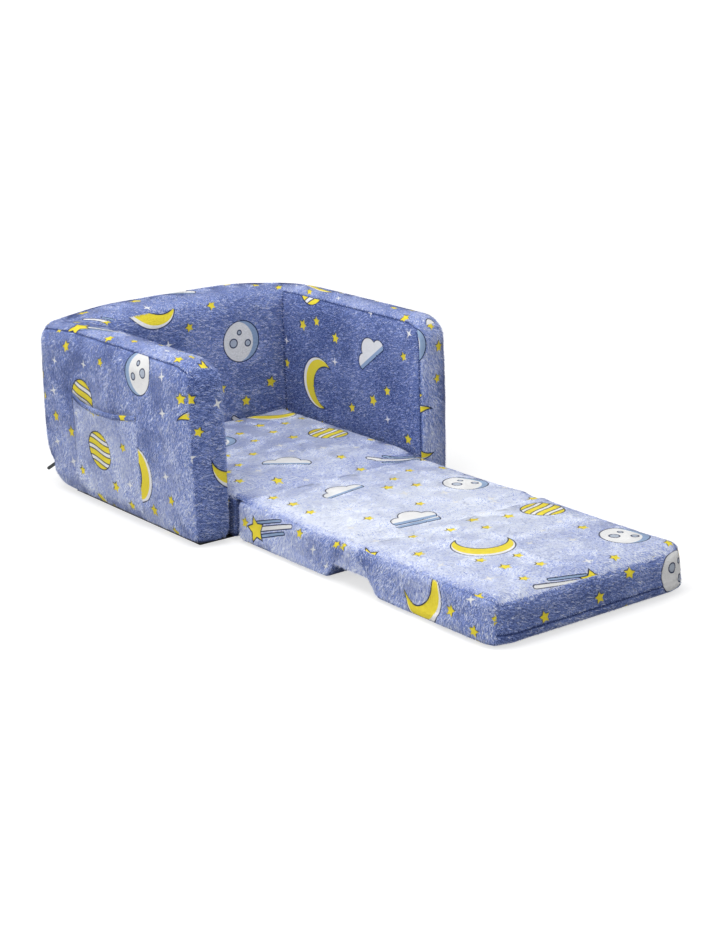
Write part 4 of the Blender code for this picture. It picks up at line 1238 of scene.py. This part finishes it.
def make_band(name, outer, cloth, pile):
    """A double layer of plush from a grid of points; cloth says where each lies on the bolt,
    or none where the print carries on from the pads beside it."""
    rows, columns = len(outer), len(outer[0])
    grid = np.array(outer)
    along = np.gradient(grid, axis=0)
    across = np.gradient(grid, axis=1)
    out = np.cross(along, across)
    out /= np.linalg.norm(out, axis=2, keepdims=True)
    inner = grid - out * FOLD_WALL
    points = [tuple(p) for layer in (grid, inner) for row in layer for p in row]
    faces, spans = [], []
    back = rows * columns
    middle_lines = (grid[:, columns // 2], grid[rows // 2])
    lengths = [run_along([Vector(p) for p in line]) for line in middle_lines]
    span = (lengths[0][-1], lengths[1][-1])

    def printed(cells):
        if cloth:
            return [cloth[a][b] for a, b in cells]
        facing = sum((Vector(out[a][b]) for a, b in cells), Vector())
        panel, u, v = (int(facing.x > 0), 1, 2) if abs(facing.x) > abs(facing.z) else (5, 0, 1)
        return [cut(panel, grid[a][b][u], grid[a][b][v], True) for a, b in cells]

    for i in range(rows - 1):
        for j in range(columns - 1):
            cells = [(i, j), (i + 1, j), (i + 1, j + 1), (i, j + 1)]
            places = [(lengths[0][a], lengths[1][b]) for a, b in cells]
            prints = printed(cells)
            faces.append([a * columns + b for a, b in cells])
            spans.append((0, places, prints))
            faces.append([back + a * columns + b for a, b in reversed(cells)])
            spans.append((1, places[::-1], prints[::-1]))
    border = [(i, 0) for i in range(rows - 1)] + [(rows - 1, j) for j in range(columns - 1)]
    border += [(i, columns - 1) for i in range(rows - 1, 0, -1)]
    border += [(0, j) for j in range(columns - 1, 0, -1)]
    run = 0.0
    for (a, b), (c, d) in zip(border, border[1:] + border[:1]):
        here, there = a * columns + b, c * columns + d
        faces.append([there, here, back + here, back + there])
        step = float(np.linalg.norm(grid[a][b] - grid[c][d]))
        places = [(run + step, 0.0), (run, 0.0), (run, BORDER_MAP), (run + step, BORDER_MAP)]
        spans.append((2, places, places))
        run += step
    sizes = [span, span, (run, BORDER_MAP)]
    piles = [pile(p, layer) for layer in (0, 1) for row in outer for p in row]
    return sew(name, points, faces, spans, sizes, piles, [0.0] * len(points))


BAND_HALF = 0.2096
BAND_TOP = 0.0830
BAND_STEP = 0.012
BOW_STEPS = 6


def section(half, floor, top, radius, step):
    """The outline of a pad seen along the bed: up one side, over the top and down the other."""
    count = round((top - radius - floor) / step)
    side = [(half, floor + (top - radius - floor) * k / count) for k in range(count)]
    x, z = half - radius, top - radius
    angles = [math.pi / 2 * k / BOW_STEPS for k in range(BOW_STEPS + 1)]
    bow = [(x + radius * math.cos(a), z + radius * math.sin(a)) for a in angles]
    count = round(2 * x / BAND_STEP)
    level = [(x - 2 * x * k / count, top) for k in range(1, count)]
    half_way = side + bow
    return half_way + level + [(-x, z) for x, z in reversed(half_way)]


ACROSS_FOLD = [k / 8 for k in range(8, -9, -1)]
TUCK = ((1.0, 0.0014), (0.75, -0.0002))
SEAT_BAND_HALF = 0.208
SEAT_BAND_COLUMNS = 38
SEAT_BAND_REACH = 0.024
SEAT_DIP = 0.0008
SEAT_BAND_PILE = (0.9, 0.5)
SEAT_BAND_SHADE = 0.08
PAD_BAND_REACH = 0.021
PAD_DIP = 0.0020
WEB_FOOT = 0.030
WEB_STEP = 0.007
WEB_DEPTH = 0.003


def on_skin(place, depth):
    """The nearest place on the pads' covers, pushed in by depth."""
    found = [skin.find_nearest(place) for skin in skins]
    spot, normal = min(found, key=lambda hit: hit[3])[:2]
    return spot - normal * depth


def cross_fold(axis_y, x, z, reach, dip):
    """One line of a band: both ends tucked into the pads' covers, with a dip over the groove."""
    aside = math.copysign(min(abs(x), BAND_HALF - PAD_EDGE), x)
    facing = Vector((x - aside, 0.0, z - min(z, BAND_TOP - PAD_EDGE))).normalized()
    shore = [
        [on_skin(Vector((x, axis_y + way * share * reach, z)), depth) for share, depth in TUCK]
        for way in (-1, 1)
    ]
    tucked = TUCK[1][0]
    line = []
    for t in ACROSS_FOLD:
        far, near = shore[t > 0]
        if abs(t) > tucked:
            place = near.lerp(far, (abs(t) - tucked) / (1 - tucked))
        else:
            share = (t / tucked + 1) / 2
            place = shore[0][1].lerp(shore[1][1], share) - facing * dip * math.sin(math.pi * share)
        line.append(tuple(place))
    return line


def seat_band_pile(place, layer):
    """Painted shade in the fold: a little darker than the pads' tops, and shorter inside."""
    return SEAT_BAND_PILE[layer], top_nap_and_light(place) - SEAT_BAND_SHADE


seat_outer = []
for k in range(SEAT_BAND_COLUMNS):
    x = SEAT_BAND_HALF - 2 * SEAT_BAND_HALF * k / (SEAT_BAND_COLUMNS - 1)
    seat_outer.append(cross_fold(SEAT_FOLD_Y, x, BAND_TOP, SEAT_BAND_REACH, SEAT_DIP))
seat_band = make_band("seat_fold_plush", seat_outer, None, seat_band_pile)
grow_pile(seat_band)
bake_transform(seat_band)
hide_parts("seat_fold_strip")


def pad_band_pile(place, layer):
    """As on the pads' tops in the middle, and as on their sides on the two webs."""
    on_top = abs(place[0]) < BAND_HALF - WEB_DEPTH
    return 1.0 - layer, top_nap_and_light(place) if on_top else side_nap_and_light(place)


pad_outer = []
for x, z in section(BAND_HALF, WEB_FOOT, BAND_TOP, PAD_EDGE, WEB_STEP):
    reach = PAD_BAND_REACH + RELIEF * (FOLD_HEIGHT - z)
    pad_outer.append(cross_fold(PAD_FOLD_Y, x, z, reach, PAD_DIP))
pad_band = make_band("pad_fold_plush", pad_outer, None, pad_band_pile)
grow_pile(pad_band)
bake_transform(pad_band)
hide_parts("pad_fold_strip", "left_fold_gusset", "right_fold_gusset")


# Pocket: a patch of plush sewn to the left arm along its sides and bottom. Its mouth sags, and
# ends in a hem, a doubled edge of the same plush.
POCKET_FRONT = FRONT_Y + 0.180
POCKET_WIDTH = 0.240
POCKET_MOUTH = 0.207
POCKET_FOOT = 0.028
POCKET_SAG = 0.012
POCKET_BULGE = 0.0075
POCKET_SEAM = 0.012
POCKET_STEPS = (28, 18)
POCKET_LIFT, POCKET_TUCK = 0.0022, -0.0006
POCKET_PALE = 0.14
POCKET_PILE, POCKET_NAP, MOUTH_SHADE = 0.85, 0.74, 0.5
HEM_PILE, HEM_NAP = 0.6, 0.51
HEM_STEPS = (40, 6)
HEM_WIDTH = 0.013
HEM_LIFT = 0.0018
HEM_RISE, HEM_HALF = 0.0055, 0.0050
HALVINGS = 24


def arm_face(y, z):
    """Where the left arm's outer face is, found by halving along the bar."""
    low, high = 0.0, SEAT_DEPTH
    for _ in range(HALVINGS):
        along = (low + high) / 2
        if droop_and_bend((along, ARM_THICKNESS, z))[1] < y:
            low = along
        else:
            high = along
    return droop_and_bend((along, ARM_THICKNESS, z))[0]


def pocket_place(rear_share, up_share, lift=0.0, rise=0.0):
    """A place on the pocket, whose mouth sags and whose middle bulges."""
    across = 2 * rear_share - 1
    y = POCKET_FRONT + POCKET_WIDTH * rear_share
    mouth = POCKET_MOUTH - POCKET_SAG * (1 - across ** 2)
    z = POCKET_FOOT + (mouth - POCKET_FOOT) * up_share
    seam = 2 * POCKET_SEAM / POCKET_WIDTH
    inside = max(0.0, 1 - abs(across) - seam) / (1 - seam)
    bulge = POCKET_BULGE * math.sin(math.pi / 2 * min(1.0, 2 * inside)) * up_share ** 2
    return (arm_face(y, z) - lift - bulge, y, z + rise)


def pocket_pile(place, layer):
    """Darker up by the mouth, which is painted shade below the hem, and none inside."""
    nap_and_light = POCKET_NAP - MOUTH_SHADE * max(0.0, place[2] - POCKET_PALE)
    return 0.0 if layer else POCKET_PILE, nap_and_light


def hem_pile(place, layer):
    """Short on the hem, and none inside."""
    return 0.0 if layer else HEM_PILE, HEM_NAP


columns, rows = POCKET_STEPS
patch_outer, patch_cloth = [], []
for i in range(columns + 1):
    edge = i in (0, columns)
    lifts = [POCKET_TUCK if edge or j == 0 else POCKET_LIFT for j in range(rows + 1)]
    patch_outer.append([pocket_place(1 - i / columns, j / rows, lifts[j]) for j in range(rows + 1)])
    height = POCKET_MOUTH - POCKET_FOOT
    patch_cloth.append([(POCKET_WIDTH * i / columns, height * j / rows) for j in range(rows + 1)])
pocket = make_band("pocket_plush", patch_outer, patch_cloth, pocket_pile)
grow_pile(pocket)
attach(pocket, "sofa_body")
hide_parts("left_arm_pocket")

columns, rows = HEM_STEPS
hem_outer, hem_cloth = [], []
for i in range(columns + 1):
    hem_outer.append([])
    for j in range(rows + 1):
        angle = math.pi * j / rows
        lift = HEM_LIFT + HEM_LIFT * math.sin(angle)
        rise = HEM_RISE - HEM_HALF * math.cos(angle)
        hem_outer[-1].append(pocket_place(1 - i / columns, 1.0, lift, rise))
    hem_cloth.append([(POCKET_WIDTH * i / columns, HEM_WIDTH * j / rows) for j in range(rows + 1)])
hem = make_band("pocket_hem_plush", hem_outer, hem_cloth, hem_pile)
grow_pile(hem)
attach(hem, "sofa_body")
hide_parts("pocket_hem")


# Zips: one in the rounded foot of the back and one in the sloping face of each loose pad. Each
# has a woven tape, a coil of moulded teeth, a metal slider, and a tab to pull it by.
TAPE_REACH = 0.0077
TAPE_SHORT = 0.0003
TAPE_SINK = 0.0015
TAPE_STEPS = (40, 8)
RIDGE_HALF = 0.003
RIDGE = 0.0001
TEETH_SHORT = 0.004
TEETH_SINK = 0.0008
TOOTH_PITCH = 0.0016
TOOTH_WIDTH = 0.0050
TOOTH_HEIGHT = 0.0012


def teeth_nodes():
    """Two rows of teeth that mesh, along X."""
    tree, w, given = new_tree("zip_teeth", ("Length", "Pitch", "Width", "Height"), ("Material",))
    half = w.maths("MULTIPLY", given["Length"], 0.5)
    count = w.maths("ROUND", w.maths("DIVIDE", given["Length"], given["Pitch"]))
    step = w.maths("DIVIDE", given["Length"], count)
    start = w.join(w.maths("SUBTRACT", w.maths("MULTIPLY", step, 0.5), half))
    line = w.add(
        "GeometryNodeMeshLine", Count=count, Start_Location=start, Offset=w.join(step)
    ).outputs[0]
    number = w.add("GeometryNodeInputIndex").outputs[0]
    way = w.maths("MULTIPLY_ADD", w.maths("FLOORED_MODULO", number, 2.0), 2.0, -1.0)
    aside = w.maths("MULTIPLY", w.maths("MULTIPLY", way, 0.17), given["Width"])
    line = w.add("GeometryNodeSetPosition", Geometry=line, Offset=w.join(0.0, aside)).outputs[0]
    width = w.maths("MULTIPLY", given["Width"], 0.66)
    size = w.join(w.maths("MULTIPLY", step, 0.8), width, given["Height"])
    tooth = w.add("GeometryNodeMeshCylinder", Vertices=8, Radius=0.5, Depth=1.0).outputs[0]
    tooth = w.add("GeometryNodeTransform", Geometry=tooth, Rotation=(math.pi / 2, math.pi / 8, 0.0))
    tooth = w.add("GeometryNodeTransform", Geometry=tooth.outputs[0], Scale=size).outputs[0]
    teeth = w.add("GeometryNodeInstanceOnPoints", Points=line, Instance=tooth).outputs[0]
    teeth = w.add("GeometryNodeRealizeInstances", Geometry=teeth).outputs[0]
    teeth = w.add("GeometryNodeSetMaterial", Geometry=teeth, Material=given["Material"]).outputs[0]
    w.put(w.add("NodeGroupOutput").inputs[0], teeth)
    return tree


TEETH = teeth_nodes()
ZIP_TAPE = woven("zip_tape_cloth", (0.060, 0.085, 0.210), (0.025, 0.038, 0.110), 0.0007, 0.8)
ZIP_TOOTH = plain("zip_tooth_nylon", (0.045, 0.062, 0.160), 0.42, 0.15)
ZIP_METAL = plain("zip_slider_metal", (0.62, 0.63, 0.65), 0.30, 0.08, 1500.0, 1.0)
ZIP_TAB = woven("zip_tab_cord", (0.105, 0.115, 0.110), (0.050, 0.056, 0.055), 0.0008, 0.8)


def fit_zip(prefix, body_name, place, half):
    """place turns the zip's own frame, X along it and Z out of the face, into the sofa's."""
    half_tape = half - TAPE_SHORT
    long_steps, cross_steps = TAPE_STEPS
    raised, cloth = [], []
    for k in range(long_steps + 1):
        x = half_tape * (1 - 2 * k / long_steps)
        line = [TAPE_REACH * (2 * j / cross_steps - 1) for j in range(cross_steps + 1)]
        raised.append([(x, y, RIDGE * (abs(y) < RIDGE_HALF) - TAPE_SINK) for y in line])
        cloth.append([(half_tape - x, y + TAPE_REACH) for y in line])
    tape = make_band(prefix + "_zip_tape_woven", raised, cloth, lambda p, layer: (0.0, 0.0))
    tape.data.transform(place)
    tape.data.materials.append(ZIP_TAPE)
    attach(tape, body_name)
    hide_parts(prefix + "_zip_tape")
    name = prefix + "_zip_teeth_row"
    teeth = into_scene(name, bpy.data.meshes.new(name))
    run_nodes(teeth, TEETH, {
        "Length": 2 * (half_tape - TEETH_SHORT), "Pitch": TOOTH_PITCH, "Width": TOOTH_WIDTH,
        "Height": TOOTH_HEIGHT, "Material": ZIP_TOOTH,
    })
    teeth.data.transform(place @ Matrix.Translation((0.0, 0.0, -TEETH_SINK)))
    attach(teeth, body_name)
    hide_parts(prefix + "_zip_teeth")
    for node, look in (("_zip_slider", ZIP_METAL), ("_zip_puller", ZIP_TAB)):
        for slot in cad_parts[prefix + node].material_slots:
            slot.material = look


borders = (ZIP_HEIGHT - ZIP_SLOT / 2, ZIP_HEIGHT + ZIP_SLOT / 2)
foot = [Vector(droop_and_bend((BAR_LENGTH / 2, ARM_THICKNESS, z))) for z in borders]
lean = math.atan2(foot[1].z - foot[0].z, foot[1].y - foot[0].y) + math.pi
body_place = Matrix.Translation((foot[0] + foot[1]) / 2) @ Matrix.Rotation(lean, 4, "X")
fit_zip("body", "sofa_body", body_place, BODY_ZIP_HALF)
notch = FOLD_GAP + RELIEF * (FOLD_HEIGHT - PAD_ZIP_HEIGHT)
slope = math.pi / 2 + math.atan(RELIEF)
for prefix, way in (("middle_pad", 1), ("end_pad", -1)):
    place = Matrix.Translation((0.0, PAD_FOLD_Y + way * notch, PAD_ZIP_HEIGHT))
    fit_zip(prefix, prefix, place @ Matrix.Rotation(way * slope, 4, "X"), PAD_ZIP_HALF)


# The stage: a sheet of pale paper on the floor, two softboxes in a white studio, and a camera
# where the photograph was taken from. The paper and the studio look white to the camera alone.
FLOOR_REACH = 40.0
PAPER_GREY = (0.42, 0.42, 0.42, 1.0)
WHITE_LIGHT = (1.0, 1.0, 1.0, 1.0)
GLOW = (1.0, 4.0, 0.66, 0.90)
STUDIO_STRENGTH = 0.58
corners = [(x * FLOOR_REACH, y * FLOOR_REACH, 0.0) for x, y in ((-1, -1), (1, -1), (1, 1), (-1, 1))]
floor_mesh = bpy.data.meshes.new("floor")
floor_mesh.from_pydata(corners, [], [(0, 1, 2, 3)])
paper, w, shader = new_finish("floor_paper")
shader.inputs["Base Color"].default_value = PAPER_GREY
shader.inputs["Roughness"].default_value = 0.8
seen = w.add("ShaderNodeLightPath").outputs["Is Camera Ray"]
far = w.vector("LENGTH", w.add("ShaderNodeTexCoord").outputs["Object"])
w.put(shader.inputs["Emission Strength"], w.maths("MULTIPLY", seen, w.spread(far, *GLOW)))
shader.inputs["Emission Color"].default_value = WHITE_LIGHT
floor_mesh.materials.append(paper)
floor = into_scene("floor", floor_mesh)
floor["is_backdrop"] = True

world = bpy.data.worlds.new("studio")
bpy.context.scene.world = world
world.use_nodes = True
w = Wiring(world.node_tree)
background = world.node_tree.nodes["Background"]
background.inputs["Color"].default_value = WHITE_LIGHT
seen = w.add("ShaderNodeLightPath").outputs["Is Camera Ray"]
w.put(background.inputs["Strength"], w.spread(seen, 0.0, 1.0, STUDIO_STRENGTH, 1.0))


def softbox(name, place, aim, size, power):
    light = bpy.data.lights.new(name, "AREA")
    light.shape, light.size, light.energy = "SQUARE", size, power
    lamp = into_scene(name, light)
    lamp.location = place
    lamp.rotation_euler = (Vector(aim) - Vector(place)).to_track_quat("-Z", "Y").to_euler()


softbox("top_light", (-0.7, -0.1, 2.6), (0.0, 0.0, 0.1), 1.8, 44.0)
softbox("side_light", (-2.8, 0.0, 1.3), (0.0, 0.0, 0.15), 1.4, 20.0)

PHOTO_HEIGHT = 928
FOCAL_PIXELS = 1977.3
YAW, PITCH, ROLL = math.radians(-36.382), math.radians(16.367), math.radians(-1.757)
camera = bpy.data.cameras.new("photo_camera")
camera.lens = FOCAL_PIXELS / PHOTO_HEIGHT * camera.sensor_width
viewpoint = into_scene("photo_camera", camera)
viewpoint.location = (-2.0357, -2.7876, 1.1327)
look = Vector((-math.sin(YAW) * math.cos(PITCH), math.cos(YAW) * math.cos(PITCH), -math.sin(PITCH)))
upright = look.to_track_quat("-Z", "Y")
viewpoint.rotation_euler = (upright @ Quaternion((0.0, 0.0, 1.0), ROLL)).to_euler()
bpy.context.scene.camera = viewpoint
bpy.context.scene.view_settings.view_transform = "Standard"

boxes = [[list(corner) for corner in box] for box in (cad_box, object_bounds())]
